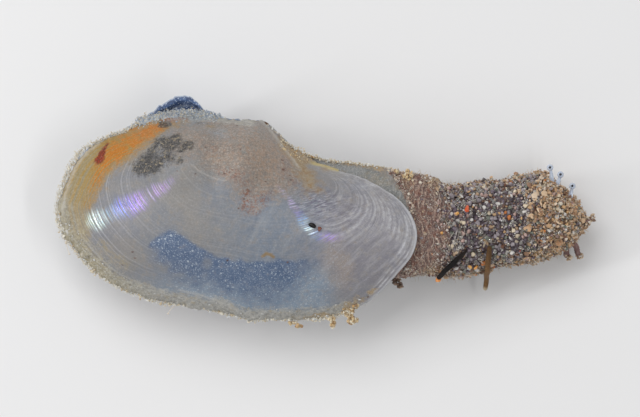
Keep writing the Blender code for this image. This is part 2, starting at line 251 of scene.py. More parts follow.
# ----------------------------------------------------------------------------------- mesh helpers
def add_mesh(name, verts_mm, faces, material=None, smooth_faces=True, attrs=None):
    """A mesh object from arrays; faces is an (n, 3) or (n, 4) array or a list of such arrays."""
    verts = np.asarray(verts_mm, np.float64) * MM
    groups = faces if isinstance(faces, list) else [faces]
    groups = [np.asarray(g, np.int64) for g in groups if len(g)]
    loops = np.concatenate([g.ravel() for g in groups])
    sizes = np.concatenate([np.full(len(g), g.shape[1]) for g in groups])
    starts = np.concatenate([[0], np.cumsum(sizes)[:-1]])
    me = bpy.data.meshes.new(name)
    me.vertices.add(len(verts))
    me.vertices.foreach_set("co", verts.astype(np.float32).ravel())
    me.loops.add(len(loops))
    me.loops.foreach_set("vertex_index", loops.astype(np.int32))
    me.polygons.add(len(sizes))
    me.polygons.foreach_set("loop_start", starts.astype(np.int32))
    me.update(calc_edges=True)
    me.polygons.foreach_set("use_smooth", np.full(len(sizes), bool(smooth_faces)))
    for key, value in (attrs or {}).items():
        at = me.attributes.new(key, "FLOAT", "POINT")
        at.data.foreach_set("value", np.asarray(value, np.float32).ravel())
    me.validate()
    ob = bpy.data.objects.new(name, me)
    bpy.context.scene.collection.objects.link(ob)
    if material:
        me.materials.append(material)
    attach(ob, "root")
    return ob


def grid_faces(rows, cols, closed_cols=True, flip=False, start=0):
    """Quads of a rows by cols grid of points."""
    r = np.arange(rows - 1)[:, None]
    c = np.arange(cols if closed_cols else cols - 1)[None, :]
    a = r * cols + c
    b = r * cols + (c + 1) % cols
    quads = np.stack([a, b, b + cols, a + cols], axis=-1).reshape(-1, 4) + start
    return quads[:, ::-1] if flip else quads


def grid_normals(p):
    """Unit normals of a (rows, cols, 3) grid closed along its columns."""
    along = np.gradient(p, axis=0)
    around = np.roll(p, -1, axis=1) - np.roll(p, 1, axis=1)
    n = np.cross(along, around)
    return n / np.maximum(np.linalg.norm(n, axis=2, keepdims=True), 1e-12)


# ------------------------------------------------------------------------------- material helpers
class Mat:
    """A short way to write node trees."""

    def __init__(self, name):
        self.mat = bpy.data.materials.new(name)
        self.mat.use_nodes = True
        self.tree = self.mat.node_tree
        self.shader = self.tree.nodes["Principled BSDF"]
        self.coords = None

    def link(self, value, socket):
        if isinstance(value, bpy.types.NodeSocket):
            self.tree.links.new(value, socket)
        elif value is not None:
            if isinstance(value, (tuple, list)) and len(value) == 3 and len(
                getattr(socket, "default_value", ())
            ) == 4:
                value = (*value, 1.0)
            socket.default_value = value

    def node(self, kind, **settings):
        n = self.tree.nodes.new(kind)
        for key, value in settings.items():
            setattr(n, key, value)
        return n

    def mm(self):
        """Object coordinates in millimetres."""
        if self.coords is None:
            tex = self.node("ShaderNodeTexCoord")
            n = self.node("ShaderNodeVectorMath", operation="SCALE")
            self.tree.links.new(tex.outputs["Object"], n.inputs[0])
            n.inputs["Scale"].default_value = 1000.0
            self.coords = n.outputs[0]
        return self.coords

    def stretch(self, scale, offset=(0, 0, 0), turn=(0, 0, 0), vec=None):
        n = self.node("ShaderNodeMapping")
        self.link(vec or self.mm(), n.inputs["Vector"])
        n.inputs["Scale"].default_value = scale
        n.inputs["Location"].default_value = offset
        n.inputs["Rotation"].default_value = turn
        return n.outputs[0]

    def slant(self, scale, turn, offset=(0, 0, 0)):
        """As stretch, but with the stretched axes turned in the plan."""
        n = self.node("ShaderNodeMapping", vector_type="TEXTURE")
        self.link(self.mm(), n.inputs["Vector"])
        n.inputs["Scale"].default_value = tuple(1.0 / v for v in scale)
        n.inputs["Location"].default_value = offset
        n.inputs["Rotation"].default_value = (0, 0, turn)
        return n.outputs[0]

    def attr(self, name):
        n = self.node("ShaderNodeAttribute", attribute_name=name)
        return n.outputs["Fac"]

    def math(self, op, a, b=None, c=None, clamp=False):
        n = self.node("ShaderNodeMath", operation=op, use_clamp=clamp)
        self.link(a, n.inputs[0])
        self.link(b, n.inputs[1])
        self.link(c, n.inputs[2])
        return n.outputs[0]

    def add(self, a, b):
        return self.math("ADD", a, b)

    def mul(self, a, b):
        return self.math("MULTIPLY", a, b)

    def step(self, x, lo, hi):
        """0 at lo to 1 at hi, smooth."""
        n = self.node("ShaderNodeMapRange", interpolation_type="SMOOTHSTEP")
        self.link(x, n.inputs["Value"])
        n.inputs["From Min"].default_value = min(lo, hi)
        n.inputs["From Max"].default_value = max(lo, hi)
        n.inputs["To Min"].default_value = 0.0 if lo < hi else 1.0
        n.inputs["To Max"].default_value = 1.0 if lo < hi else 0.0
        return n.outputs["Result"]

    def noise(self, scale, detail=3.0, rough=0.5, vec=None, distortion=0.0, dims="3D"):
        n = self.node("ShaderNodeTexNoise", noise_dimensions=dims)
        self.link(vec or self.mm(), n.inputs["Vector"])
        n.inputs["Scale"].default_value = scale
        n.inputs["Detail"].default_value = detail
        n.inputs["Roughness"].default_value = rough
        n.inputs["Distortion"].default_value = distortion
        return n.outputs[0]

    def cells(self, scale, vec=None, feature="F1", randomness=1.0):
        """Distance and a random number of the nearest cell."""
        n = self.node("ShaderNodeTexVoronoi", feature=feature)
        self.link(vec or self.mm(), n.inputs["Vector"])
        n.inputs["Scale"].default_value = scale
        n.inputs["Randomness"].default_value = randomness
        if feature == "DISTANCE_TO_EDGE":
            return n.outputs["Distance"], None
        sep = self.node("ShaderNodeSeparateColor")
        self.tree.links.new(n.outputs["Color"], sep.inputs[0])
        return n.outputs["Distance"], sep.outputs[0]

    def mix(self, fac, a, b, blend="MIX"):
        n = self.node("ShaderNodeMix", data_type="RGBA", blend_type=blend)
        self.link(fac, n.inputs["Factor"])
        self.link(a, n.inputs[6])
        self.link(b, n.inputs[7])
        return n.outputs[2]

    def ramp(self, fac, stops, interpolation="LINEAR"):
        n = self.node("ShaderNodeValToRGB")
        self.link(fac, n.inputs[0])
        r = n.color_ramp
        r.interpolation = interpolation
        while len(r.elements) < len(stops):
            r.elements.new(0.5)
        for e, (pos, col) in zip(r.elements, stops):
            e.position = pos
            e.color = (*col, 1.0)
        return n.outputs[0]

    def bump(self, heights, distance, strength=1.0, normal=None):
        n = self.node("ShaderNodeBump")
        self.link(heights, n.inputs["Height"])
        n.inputs["Distance"].default_value = distance
        n.inputs["Strength"].default_value = strength
        self.link(normal, n.inputs["Normal"])
        return n.outputs[0]

    def set(self, **values):
        for key, value in values.items():
            self.link(value, self.shader.inputs[key.replace("_", " ")])
        return self.mat


def srgb(r, g, b, k=1.0):
    """A colour named in 0-255 screen values."""
    out = []
    for v in (r, g, b):
        v /= 255.0
        out.append((v / 12.92 if v <= 0.04045 else ((v + 0.055) / 1.055) ** 2.4) * k)
    return tuple(out)


# ------------------------------------------------------------------------------------ valve meshes
def circle_spaced(seed, n, lo, hi, jitter):
    rng = np.random.default_rng(seed)
    base = np.linspace(lo, hi, n)
    return base + rng.uniform(-jitter, jitter, n) * (hi - lo) / n


def ridge_profile(g, centres, widths, heights):
    """Sum of narrow crests at given places of a growth coordinate."""
    out = np.zeros_like(g)
    for c, w, h in zip(centres, widths, heights):
        near = np.abs(g - c) < 4 * w
        d = (g[near] - c) / w
        out[near] += h * np.exp(-d * d)
    return out


def growth_fields(px, py):
    """Two families of growth lines: round the umbo, and round the hinge's rear end."""
    curve = LEFT.curve
    cx, cy = from_plan(curve[:, 0] + SHIFT[0], curve[:, 1] + SHIFT[1])

    def scale_about(ox, oy, bends=None):
        ang = np.arctan2(-(cy - oy), cx - ox)
        rad = np.hypot(cx - ox, cy - oy)
        bins = np.radians(np.arange(-180, 180, 1.5))
        far = np.zeros(len(bins))
        for a, r in zip(ang, rad):
            k = int(round((a + math.pi) / math.radians(1.5))) % len(bins)
            far[k] = max(far[k], r)
        ok = far > 0
        far = np.interp(bins, bins[ok], far[ok], period=2 * math.pi)
        kernel = np.array([1, 3, 4, 3, 1.0])
        kernel /= kernel.sum()
        far = sum(w * np.roll(far, k - 2) for k, w in enumerate(kernel))
        a = np.arctan2(-(py - oy), px - ox)
        d = np.hypot(px - ox, py - oy)
        full = np.interp(a, bins, far, period=2 * math.pi)
        g = d / full
        if bends is not None:
            # the inner lines turn back towards the hinge sooner than the margin does
            turn_at, factor = bends
            inner = full * np.interp(np.degrees(-a) % 360, turn_at, factor)
            for _ in range(6):
                k = smooth(0.45, 0.9, g)
                g = d / (inner * (1 - k) + full * k)
        return g

    return scale_about(262.0, 126.0), scale_about(
        312.0, 172.0, ([0, 50, 70, 90, 120, 180, 360], [1.0, 1.0, 0.9, 0.74, 0.62, 0.6, 1.0])
    )


def polyline_distance(px, py, points):
    best = np.full(np.shape(px), 1e9)
    along = np.zeros(np.shape(px))
    total = 0.0
    for (ax, ay), (bx, by) in zip(points[:-1], points[1:]):
        dx, dy = bx - ax, by - ay
        length = math.hypot(dx, dy)
        k = np.clip(((px - ax) * dx + (py - ay) * dy) / length**2, 0, 1)
        d = np.hypot(px - ax - k * dx, py - ay - k * dy)
        closer = d < best
        best = np.where(closer, d, best)
        along = np.where(closer, total + k * length, along)
        total += length
    return best, along / total


def blob(px, py, cx, cy, rx, ry, deg=0.0, soft=0.35):
    c, s = math.cos(math.radians(deg)), math.sin(math.radians(deg))
    dx, dy = px - cx, py - cy
    d = np.hypot((dx * c + dy * s) / rx, (-dx * s + dy * c) / ry)
    return smooth(1 + soft, 1 - soft, d) if soft > 0 else (d < 1).astype(float)


def blobs(px, py, rows, seed, wobble=4.0, freq=0.06):
    """Union of soft ovals whose outlines wander."""
    p = np.column_stack([px, py]) * freq
    wx, wy = fbm(p, 3, seed) * wobble, fbm(p, 3, seed + 31) * wobble
    out = np.zeros(np.shape(px))
    for cx, cy, rx, ry, deg, soft, k in rows:
        c, s = math.cos(math.radians(deg)), math.sin(math.radians(deg))
        dx, dy = px + wx - cx, py + wy - cy
        d = np.hypot((dx * c + dy * s) / rx, (-dx * s + dy * c) / ry)
        out = np.maximum(out, k * (1.0 - smooth(1 - soft, 1 + soft, d)))
    return out


def valve_mesh(name, margin, side, rings, segs, inner_rings, material, seed):
    a = margin.spaced_angles(segs)
    t = (np.arange(1, rings + 1) / rings) ** 0.92
    A, T = np.meshgrid(a, t)
    R = margin.reach(A, T)
    edge_mm = margin.edge(A)
    # ragged margin, except along the clean posterior rim
    clean = np.maximum(
        bump_at(A, math.radians(-8), 0.42), 0.75 * bump_at(A, math.radians(-24), 0.25)
    )
    rag = fbm(np.column_stack([np.cos(a), np.sin(a)]) * 26.0, 4, seed + 3, 0.65)
    rag2 = fbm(np.column_stack([np.cos(a), np.sin(a)]) * 7.0, 2, seed + 9)
    rag = (rag * 0.13 + rag2 * 0.05)[None, :] * (1 - clean)
    R = R + rag * T**14
    x = D0[0] + R * np.cos(A) + SHIFT[0]
    y = D0[1] + R * np.sin(A) + SHIFT[1]
    # the lower valve's rim lies flat a little beyond the upper one
    H = height(A, np.minimum(T / 0.965, 1.0)) if side < 0 else height(A, T)
    px, py = from_plan(x, y)
    flat_px, flat_py = px.ravel(), py.ravel()
    g1, g2 = growth_fields(flat_px, flat_py)
    g1, g2 = g1.reshape(px.shape), g2.reshape(px.shape)
    edge = (edge_mm - margin.reach(A, T)) * 18.0
    # slope behind the umbo the rear slope: the shell is lower behind it
    behind, along = polyline_distance(px, py, [(262, 118), (285, 150), (305, 178), (330, 215)])
    lower = ((px - 262) * 0.8 - (py - 118) * 0.57) > 0
    fall = np.where(lower, smooth(0, 22, behind), 0.0) * (1 - smooth(0.35, 1.0, along))
    H = H - 0.34 * fall * smooth(0.0, 14.0, edge)
    groove = np.exp(-((behind / 3.2) ** 2)) * (1 - smooth(0.3, 0.95, along))
    H = H - 0.07 * groove
    if side < 0:
        H = np.minimum(H, ZC)
    p = np.stack([x, y, ZC + side * H], axis=2)
    # soft undulation
    flat_plan = np.column_stack([flat_px, flat_py])
    swell = fbm(flat_plan / 70.0, 3, seed + 40).reshape(px.shape)
    swell2 = fbm(flat_plan / 20.0, 3, seed + 50).reshape(px.shape)
    relief = 0.10 * swell * smooth(0, 20, edge) + 0.022 * swell2
    # growth relief: faint round the middle, plain at the front and strong arcs at the rear
    post = smooth(300, 342, px) * (1 - smooth(226, 262, py - 60 * smooth(0.84, 0.95, g2)))
    front = smooth(165, 90, px)
    rng = np.random.default_rng(seed)
    c1 = circle_spaced(seed + 1, 58, 0.16, 0.985, 0.42)
    prof1 = ridge_profile(
        g1.ravel(), c1, rng.uniform(0.0030, 0.0062, 58), rng.uniform(0.1, 1.0, 58)
    ).reshape(px.shape)
    patchy = 0.5 + 0.5 * smooth(-0.3, 0.4, fbm(flat_plan / 34.0, 2, seed + 45).reshape(px.shape))
    calm = np.maximum(smooth(300, 330, px) * smooth(236, 262, py) * smooth(5, 14, edge), smooth(190, 230, px) * smooth(190, 160, py))
    relief = relief + prof1 * (0.0032 + 0.0058 * front) * patchy * (1 - 0.85 * post) * (1 - 0.8 * calm)
    strong = [0.29, 0.36, 0.44, 0.475, 0.53, 0.565, 0.60, 0.64, 0.685, 0.72, 0.748, 0.79, 0.835, 0.865, 0.905, 0.935, 0.965]
    widths = [0.013, 0.012, 0.011, 0.009, 0.011, 0.008, 0.008, 0.010, 0.009, 0.008, 0.009, 0.011, 0.009, 0.008, 0.009, 0.007, 0.007]
    tall = [0.5, 0.4, 0.9, 0.5, 0.8, 0.5, 0.9, 0.6, 1.0, 0.5, 0.9, 0.7, 1.2, 0.6, 1.2, 0.7, 1.0]
    wob = fbm(flat_plan / 40.0, 2, seed + 60).reshape(px.shape) * 0.008
    prof2 = ridge_profile((g2 + wob).ravel(), strong, widths, tall).reshape(px.shape)
    fade = 1 - smooth(222, 250, py - 60 * smooth(0.86, 0.96, g2))
    broken = 0.35 + 0.65 * smooth(-0.35, 0.25, fbm(flat_plan / 16.0, 3, seed + 61).reshape(px.shape))
    c3 = circle_spaced(seed + 2, 46, 0.22, 0.985, 0.45)
    prof3 = ridge_profile(
        (g2 + 1.4 * wob).ravel(), c3, np.full(46, 0.0042), rng.uniform(0.1, 1.0, 46)
    ).reshape(px.shape)
    arcs = smooth(300, 342, px) * fade * (prof2 * broken + 0.22 * prof3)
    relief = relief + 0.026 * arcs
    # a raised line inside the front margin, a crease inside the belly margin, a ridge behind the umbo
    d_front, _ = polyline_distance(px, py, [(118, 133), (108, 137), (97, 145), (86, 154), (77, 166), (70, 180), (65, 198), (63, 214)])
    relief = relief + 0.035 * np.exp(-((d_front / 1.8) ** 2))
    d_belly, _ = polyline_distance(px, py, [(180, 290), (198, 294), (215, 299), (232, 307), (245, 312), (258, 319)])
    relief = relief + 0.022 * np.exp(-((d_belly / 1.6) ** 2))
    d_umbo, k_umbo = polyline_distance(px, py, [(261, 121), (272, 133), (282, 147), (291, 158), (298, 168)])
    relief = relief + 0.05 * np.exp(-((d_umbo / 1.7) ** 2)) * (1 - 0.6 * k_umbo)
    # raised lip along the clean rim, rough welts along the muddy belly margin
    relief = relief + 0.05 * np.exp(-((edge - 1.6) / 1.5) ** 2) * clean
    mud = (1 - smooth(3, 15, edge + 4 * swell2)) * (1 - clean) * np.maximum(smooth(150, 250, py), smooth(150, 100, px))
    lumps = fbm(flat_plan / 3.0, 3, seed + 70).reshape(px.shape)
    relief = relief + mud * (0.03 + 0.075 * lumps)
    n = grid_normals(p)
    if n[rings // 2, :, 2].mean() * side < 0:
        n = -n
    outer = p + n * relief[..., None]
    outer[..., 2] = np.maximum(outer[..., 2], 0.0 if side < 0 else -9)
    centre = np.array([[D0[0] + SHIFT[0], D0[1] + SHIFT[1], ZC + side * DEPTH]])
    centre[0, 2] += 0.10 * side * float(
        fbm(np.array([from_plan(centre[0, 0], centre[0, 1])]) / 70.0, 3, seed + 40)[0]
    )
    centre[0, 2] = max(centre[0, 2], 0.0)
    # inner wall: thin, thinner still at the margin
    ti = np.linspace(0.06, 1.0, inner_rings)
    rows = np.unique(np.clip(np.searchsorted(t, ti), 0, rings - 1))
    inner = outer[rows] - n[rows] * (0.13 * (1 - 0.55 * T[rows, :, None] ** 6)) * 1.0
    verts = np.concatenate([centre, outer.reshape(-1, 3), inner.reshape(-1, 3)])
    up = side > 0
    first = np.arange(segs)
    cap = np.column_stack([np.zeros(segs, int), 1 + first, 1 + (first + 1) % segs])
    body = grid_faces(rings, segs, flip=True, start=1)
    start_in = 1 + rings * segs
    inside = grid_faces(len(rows), segs, flip=False, start=start_in)
    last_out = 1 + (rings - 1) * segs + first
    last_in = start_in + (len(rows) - 1) * segs + first
    rim = np.column_stack([last_out, last_in, np.roll(last_in, -1), np.roll(last_out, -1)])
    cap_in = np.column_stack(
        [np.full(segs, start_in), start_in + (first + 1) % segs, start_in + first]
    )[1:-1]
    faces = [cap, body, inside, rim, cap_in]
    if not up:
        faces = [f[:, ::-1] for f in faces]
    fields = valve_fields(px, py, edge, clean, T, A, seed, side < 0)
    fields.update(g1=g1, g2=g2, post=post, arc=np.clip(arcs, 0, 1.2) * (side > 0))
    attrs = {}
    for key, value in fields.items():
        value = np.broadcast_to(value, px.shape)
        attrs[key] = np.concatenate([value[:1].mean(axis=1), value.ravel(), value[rows].ravel()])
    inside_flag = np.concatenate(
        [np.zeros(1 + rings * segs), np.ones(len(rows) * segs)]
    )
    attrs["inside"] = inside_flag
    ob = add_mesh(name, verts, faces, material, True, attrs)
    return ob, p, n, outer


def wander(points, X, Y, seed, amount, size):
    """Distance to a polyline from places pushed about by noise."""
    p = np.column_stack([X, Y]) / size
    return polyline_distance(
        X + amount * fbm(p, 3, seed), Y + amount * fbm(p, 3, seed + 31), points
    )


def valve_fields(px, py, edge, clean, T, A, seed, far):
    """Soft maps of the markings, on the drawing's plan."""
    X, Y = px.ravel(), py.ravel()
    E = edge.ravel()
    C = np.broadcast_to(clean, px.shape).ravel()
    shape = px.shape
    f = {}
    wob = fbm(np.column_stack([X, Y]) / 9.0, 3, seed + 5) * 3.0
    wob2 = fbm(np.column_stack([X, Y]) / 16.0, 2, seed + 6) * 5.0
    # blue band seen through the shell
    up = np.interp(
        X,
        [146, 152, 160, 170, 182, 190, 205, 220, 245, 270, 300, 312, 322, 330],
        [252, 241, 234, 231, 234, 240, 250, 256, 261, 262, 260, 257, 262, 272],
    )
    low = np.interp(
        X,
        [146, 165, 180, 200, 220, 245, 270, 300, 320, 330],
        [258, 268, 276, 283, 289, 294, 296, 294, 287, 278],
    )
    f["blue"] = (
        smooth(-4.5, 5.0, Y - up + wob)
        * smooth(-24, 24, low - Y + 1.6 * wob2)
        * smooth(141, 162, X + 1.6 * wob)
        * (1 - smooth(290, 331, X + 1.5 * wob2 + 1.5 * wob + 0.42 * (Y - 262)))
    )
    rough_edge = fbm(np.column_stack([X, Y]) / 5.0, 3, seed + 7)
    f["blue"] = np.clip(f["blue"] + 0.35 * rough_edge * 4 * f["blue"] * (1 - f["blue"]), 0, 1)
    f["blue"] *= 1 - 0.6 * blobs(X, Y, [(207, 262, 5, 7, 5, 0.7, 1.0), (205, 274, 4, 5, 0, 0.8, 0.6), (250, 271, 4, 4, 0, 0.8, 0.7)], seed + 9, 3.0, 0.12)
    f["cool"] = smooth(185, 285, X + 0.3 * (Y - 200) + 8 * wob / 3) * smooth(172, 205, Y - 0.12 * (X - 240) + wob2) * (1 - smooth(318, 345, X))
    f["haze"] = (
        smooth(262, 290, Y + 0.05 * (X - 200))
        * smooth(110, 200, X)
        * (1 - smooth(312, 350, X + 1.2 * wob))
        * smooth(4, 16, E)
    )
    f["edge"] = E
    f["clean"] = C
    f["beige"] = np.maximum(
        (1 - smooth(6, 20, E + wob + 0.5 * wob2)) * smooth(185, 240, Y) * (1 - smooth(345, 366, X)),
        (1 - smooth(6, 34, E + wob2)) * (1 - smooth(88, 145, X)) * 0.8,
    )
    f["beige"] = np.maximum(f["beige"], (1 - smooth(3, 9, E + wob)) * (1 - smooth(250, 262, X)) * 0.8)
    d, k = wander([(188, 118), (170, 121), (152, 129), (134, 139), (118, 150), (106, 163), (98, 178), (92, 194), (88, 208)], X, Y, seed + 11, 3.5, 12.0)
    width = np.interp(k, [0, 0.15, 0.3, 0.5, 0.62, 0.8, 1.0], [4.0, 8.0, 13.0, 16.0, 15.0, 10.0, 5.0])
    strong = np.interp(k, [0, 0.12, 0.25, 0.6, 0.75, 1.0], [0.75, 1.0, 1.0, 1.0, 0.8, 0.45])
    f["orange"] = (1 - smooth(-0.1, 1.5, d / width)) * strong
    f["orange"] = np.maximum(
        f["orange"], blobs(X, Y, [(155, 117, 15, 5.5, -18, 0.7, 0.62), (137, 128, 12, 4, -24, 0.8, 0.5), (212, 127, 5, 4, 0, 0.9, 0.3)], seed + 12, 4.0, 0.09)
    )
    d, k = wander([(128, 140), (104, 152), (86, 170), (78, 190), (76, 212), (82, 232)], X, Y, seed + 13, 4.0, 14.0)
    width = np.interp(k, [0, 0.3, 0.6, 1.0], [12.0, 20.0, 19.0, 10.0])
    f["ochre_left"] = (1 - smooth(0.3, 1.25, d / width)) * np.interp(k, [0, 0.2, 0.7, 1.0], [0.8, 1.0, 0.85, 0.3])
    f["beige"] = f["beige"] * (1 - 0.8 * f["ochre_left"])
    f["yellow"] = blobs(X, Y, [(104, 246, 9, 5, 40, 0.9, 0.7), (122, 262, 12, 5, 35, 0.9, 0.6), (80, 232, 5, 5, 0, 0.8, 0.8), (96, 262, 9, 4, 40, 0.8, 0.5)], seed + 16, 5.0, 0.1)
    f["dark"] = blobs(
        X, Y,
        [
            (150, 163, 17, 11, -30, 0.5, 1.0), (163, 152, 18, 12, -35, 0.5, 1.0), (171, 142, 12, 6, -20, 0.6, 0.9),
            (185, 148, 8, 4.5, -15, 0.6, 0.9), (180, 161, 5, 2.6, -10, 0.7, 0.6), (165, 123, 6.5, 3.4, -16, 0.5, 1.0),
            (200, 124, 8, 2.5, 10, 0.9, 0.4), (216, 134, 9, 4, 15, 0.9, 0.3),
        ],
        seed + 17, 3.5, 0.16,
    )  # fmt: skip
    tan_in = blobs(X, Y, [(160, 152, 5.5, 5, 0, 0.6, 1.0), (156, 160, 3, 4, 20, 0.7, 0.7), (175, 152, 5, 4, 0, 0.7, 0.8), (167, 161, 4, 3, 0, 0.7, 0.6)], seed + 20, 4.0, 0.25)
    f["dark"] = f["dark"] * (1 - 0.62 * tan_in)
    f["granules"] = blobs(
        X, Y, [(188, 114, 22, 8, -3, 0.5, 1.0), (168, 114, 10, 4, -8, 0.7, 0.5), (218, 134, 9, 5, 10, 0.9, 0.45)],
        seed + 18, 4.0, 0.09,
    )  # fmt: skip
    f["pink"] = blobs(
        X, Y,
        [
            (240, 148, 50, 30, 8, 0.6, 1.0), (200, 142, 30, 20, 0, 0.7, 0.8), (262, 178, 30, 22, -10, 0.7, 0.8),
            (285, 160, 16, 28, -20, 0.7, 0.7), (250, 205, 14, 12, 0, 0.8, 0.55),
        ],
        seed + 19, 9.0, 0.04,
    )  # fmt: skip
    f["shade"] = blobs(X, Y, [(190, 180, 26, 12, -20, 0.8, 1.0), (150, 178, 14, 7, -40, 0.8, 0.6)], seed + 25, 5.0, 0.06)
    f["blush"] = blobs(X, Y, [(268, 160, 18, 20, -20, 0.8, 1.0), (230, 158, 16, 9, 0, 0.9, 0.5)], seed + 26, 6.0, 0.08)
    f["tail"] = blobs(
        X, Y,
        [
            (248, 200, 5, 13, 3, 0.7, 1.0), (259, 200, 9, 6, -18, 0.8, 0.75), (232, 174, 12, 5, 14, 0.8, 0.8),
            (252, 209, 7, 4, 0, 0.8, 0.8), (268, 194, 7, 4, -15, 0.8, 0.45), (244, 182, 8, 7, 40, 0.9, 0.5),
            (214, 150, 8, 6, 0, 0.9, 0.35), (285, 166, 4, 10, 5, 0.9, 0.5), (292, 183, 5, 5, 5, 0.9, 0.45),
        ],
        seed + 23, 4.0, 0.14,
    )  # fmt: skip
    f["ochre"] = blobs(
        X, Y,
        [
            (299, 157, 17, 9, 42, 0.6, 1.0), (305, 176, 17, 10, 60, 0.65, 0.85),
            (289, 146, 12, 6, 44, 0.6, 0.9), (318, 162, 17, 6, 20, 0.7, 0.6), (316, 186, 10, 8, 40, 0.9, 0.5),
        ],
        seed + 29, 5.0, 0.08,
    )  # fmt: skip
    d, k = wander([(307, 161), (318, 164.5), (328, 167), (338, 170.5)], X, Y, seed + 3, 0.8, 6.0)
    f["streak"] = (1 - smooth(0.6, 3.0, d)) * smooth(0.0, 0.3, k) * 0.9
    d, k = wander([(107.5, 144), (104.5, 150), (99.0, 161)], X, Y, seed + 4, 1.8, 3.0)
    f["red"] = 1 - smooth(-0.8, 1.0, d - (0.8 + 2.9 * smooth(0.0, 0.75, k)))
    f["purple"] = blobs(X, Y, [(316, 204, 22, 15, 20, 0.8, 1.0), (345, 212, 18, 12, -20, 0.9, 0.5)], seed + 37, 5.0)
    f["warm"] = blobs(X, Y, [(335, 268, 16, 24, 8, 0.7, 1.0)], seed + 41, 6.0)
    f["lilac"] = blobs(X, Y, [(368, 246, 56, 56, -20, 0.7, 1.0), (120, 215, 40, 25, -60, 0.9, 0.3)], seed + 43, 8.0)
    f["crust"] = blobs(
        X, Y,
        [
            (351, 308, 8, 7, 10, 0.7, 0.95), (325, 316, 24, 3.4, -3, 0.8, 0.8),
            (356, 298, 5, 4, 0, 0.8, 0.7), (372, 291, 5, 3, -35, 0.8, 0.8), (363, 299, 5, 3, -30, 0.8, 0.6),
        ],
        seed + 47, 4.0, 0.12,
    )  # fmt: skip
    d, k = wander([(263, 255.8), (266.5, 253.2), (270, 254), (273.5, 256.2)], X, Y, seed + 8, 0.8, 3.0)
    f["chip"] = 1 - smooth(0.6, 2.4, d)
    # nacre where the strip lights make it shine, with painted highlight tints there: how much, and its tint from 0 to 1
    d, k = wander([(84, 226), (100, 218), (120, 211), (138, 202), (156, 192), (178, 178)], X, Y, seed + 14, 3.0, 9.0)
    width = np.interp(k, [0, 0.12, 0.25, 0.4, 0.6, 0.8, 1.0], [6.0, 14.0, 9.0, 14.0, 12.0, 9.0, 5.0])
    strength = np.interp(k, [0, 0.06, 0.14, 0.24, 0.32, 0.45, 0.6, 0.68, 0.78, 1.0], [0.0, 0.8, 1.0, 0.35, 0.75, 1.0, 0.85, 0.25, 0.7, 0.05])
    left_n = (1 - smooth(0.1, 1.15, d / width + 0.25 * wob / 3)) * strength
    f["hue"] = np.where(X < 230, np.interp(k, [0, 0.2, 0.35, 0.6, 1.0], [0.05, 0.12, 0.35, 0.55, 0.62]), 0.0)
    d, k = wander([(276, 186), (290, 200), (298, 212), (304, 224), (314, 234), (330, 238), (346, 234)], X, Y, seed + 15, 2.0, 8.0)
    width = np.interp(k, [0, 0.3, 0.45, 0.65, 0.8, 1.0], [3.0, 4.0, 6.5, 8.0, 6.5, 4.0])
    strength = np.interp(k, [0, 0.1, 0.16, 0.22, 0.28, 0.36, 0.46, 0.6, 0.75, 0.88, 1.0], [0.0, 0.5, 0.1, 0.75, 0.5, 0.35, 1.0, 1.0, 0.8, 0.5, 0.0])
    patches = 0.55 + 0.45 * smooth(-0.25, 0.25, fbm(np.column_stack([X, Y]) / 4.2, 2, seed + 12))
    right_n = (1 - smooth(0.1, 1.15, d / width + 0.3 * wob / 3)) * strength * patches
    f["hue"] = np.where(X >= 230, np.interp(k, [0, 0.3, 0.45, 0.6, 0.75, 1.0], [0.8, 0.62, 0.22, 0.1, 0.5, 0.58]), f["hue"])
    f["nacre"] = np.maximum(left_n, right_n)
    # fine pale lines
    pale = np.zeros_like(X)
    for pts, w, k0 in [
        ([(118, 133), (108, 137), (97, 145), (86, 154), (77, 166), (70, 180), (65, 198), (63, 214)], 1.5, 0.8),
        ([(180, 290), (198, 294), (215, 299), (232, 307), (245, 312), (258, 319)], 1.2, 0.7),
        ([(150, 300), (160, 292), (168, 288)], 0.8, 0.5),
        ([(261, 121), (272, 133), (282, 147), (291, 158), (298, 168)], 1.4, 0.75),
        ([(192, 165), (203, 173), (214, 178), (226, 181)], 0.7, 0.45),
    ]:  # fmt: skip
        d, _ = wander(pts, X, Y, seed + 16, 0.8, 6.0)
        pale = np.maximum(pale, k0 * np.exp(-((d / w) ** 2)))
    f["pale"] = pale
    speck = np.zeros_like(X)
    for sx, sy, sr in [
        (283, 170, 1.5), (282, 161, 1.0), (291, 180, 1.0), (248, 190, 1.1), (228, 260, 1.1), (237, 126, 0.9), (133, 252, 1.2),
        (135, 258, 0.9), (82, 199, 0.9), (241, 150, 1.0), (206, 148, 0.8), (225, 174, 1.0), (233, 170, 0.8), (245, 199, 1.1),
        (239, 208, 0.9), (266, 182, 0.8), (123, 265, 0.8), (196, 174, 0.8), (178, 171, 0.7), (290, 176, 0.8), (303, 151, 1.2),
        (297, 157, 0.9), (163, 188, 0.8), (384, 265, 0.8), (368, 296, 1.0), (376, 300, 1.0), (288, 262, 1.0),
    ]:  # fmt: skip
        d = np.hypot(X - sx + 0.5 * wob / 3, (Y - sy) * 1.25 + 0.4 * wob2 / 3)
        speck = np.maximum(speck, 1 - smooth(0.5 * sr, 1.5 * sr, d))
    f["speck"] = speck
    f["front"] = smooth(165, 92, X)
    f["plain"] = np.clip(np.maximum(
        f["pink"], smooth(296, 330, X) * smooth(238, 262, Y) * smooth(5, 14, E)
    ), 0, 1)
    f["hump"] = np.zeros_like(X)
    f["flange"] = np.full_like(X, float(far))
    if far:
        f["blue"] = f["blue"] * 0.8
        f["haze"] = np.maximum(f["haze"], 0.4)
        hump = blobs(X, Y, [(180, 100, 40, 18, 0, 0.2, 1.0)], seed, 1.0)
        f["beige"] = f["beige"] * (1 - hump) * 0.35
        f["clean"] = np.maximum(C, np.maximum(hump, (1 - smooth(150, 200, X)) * 0.8))
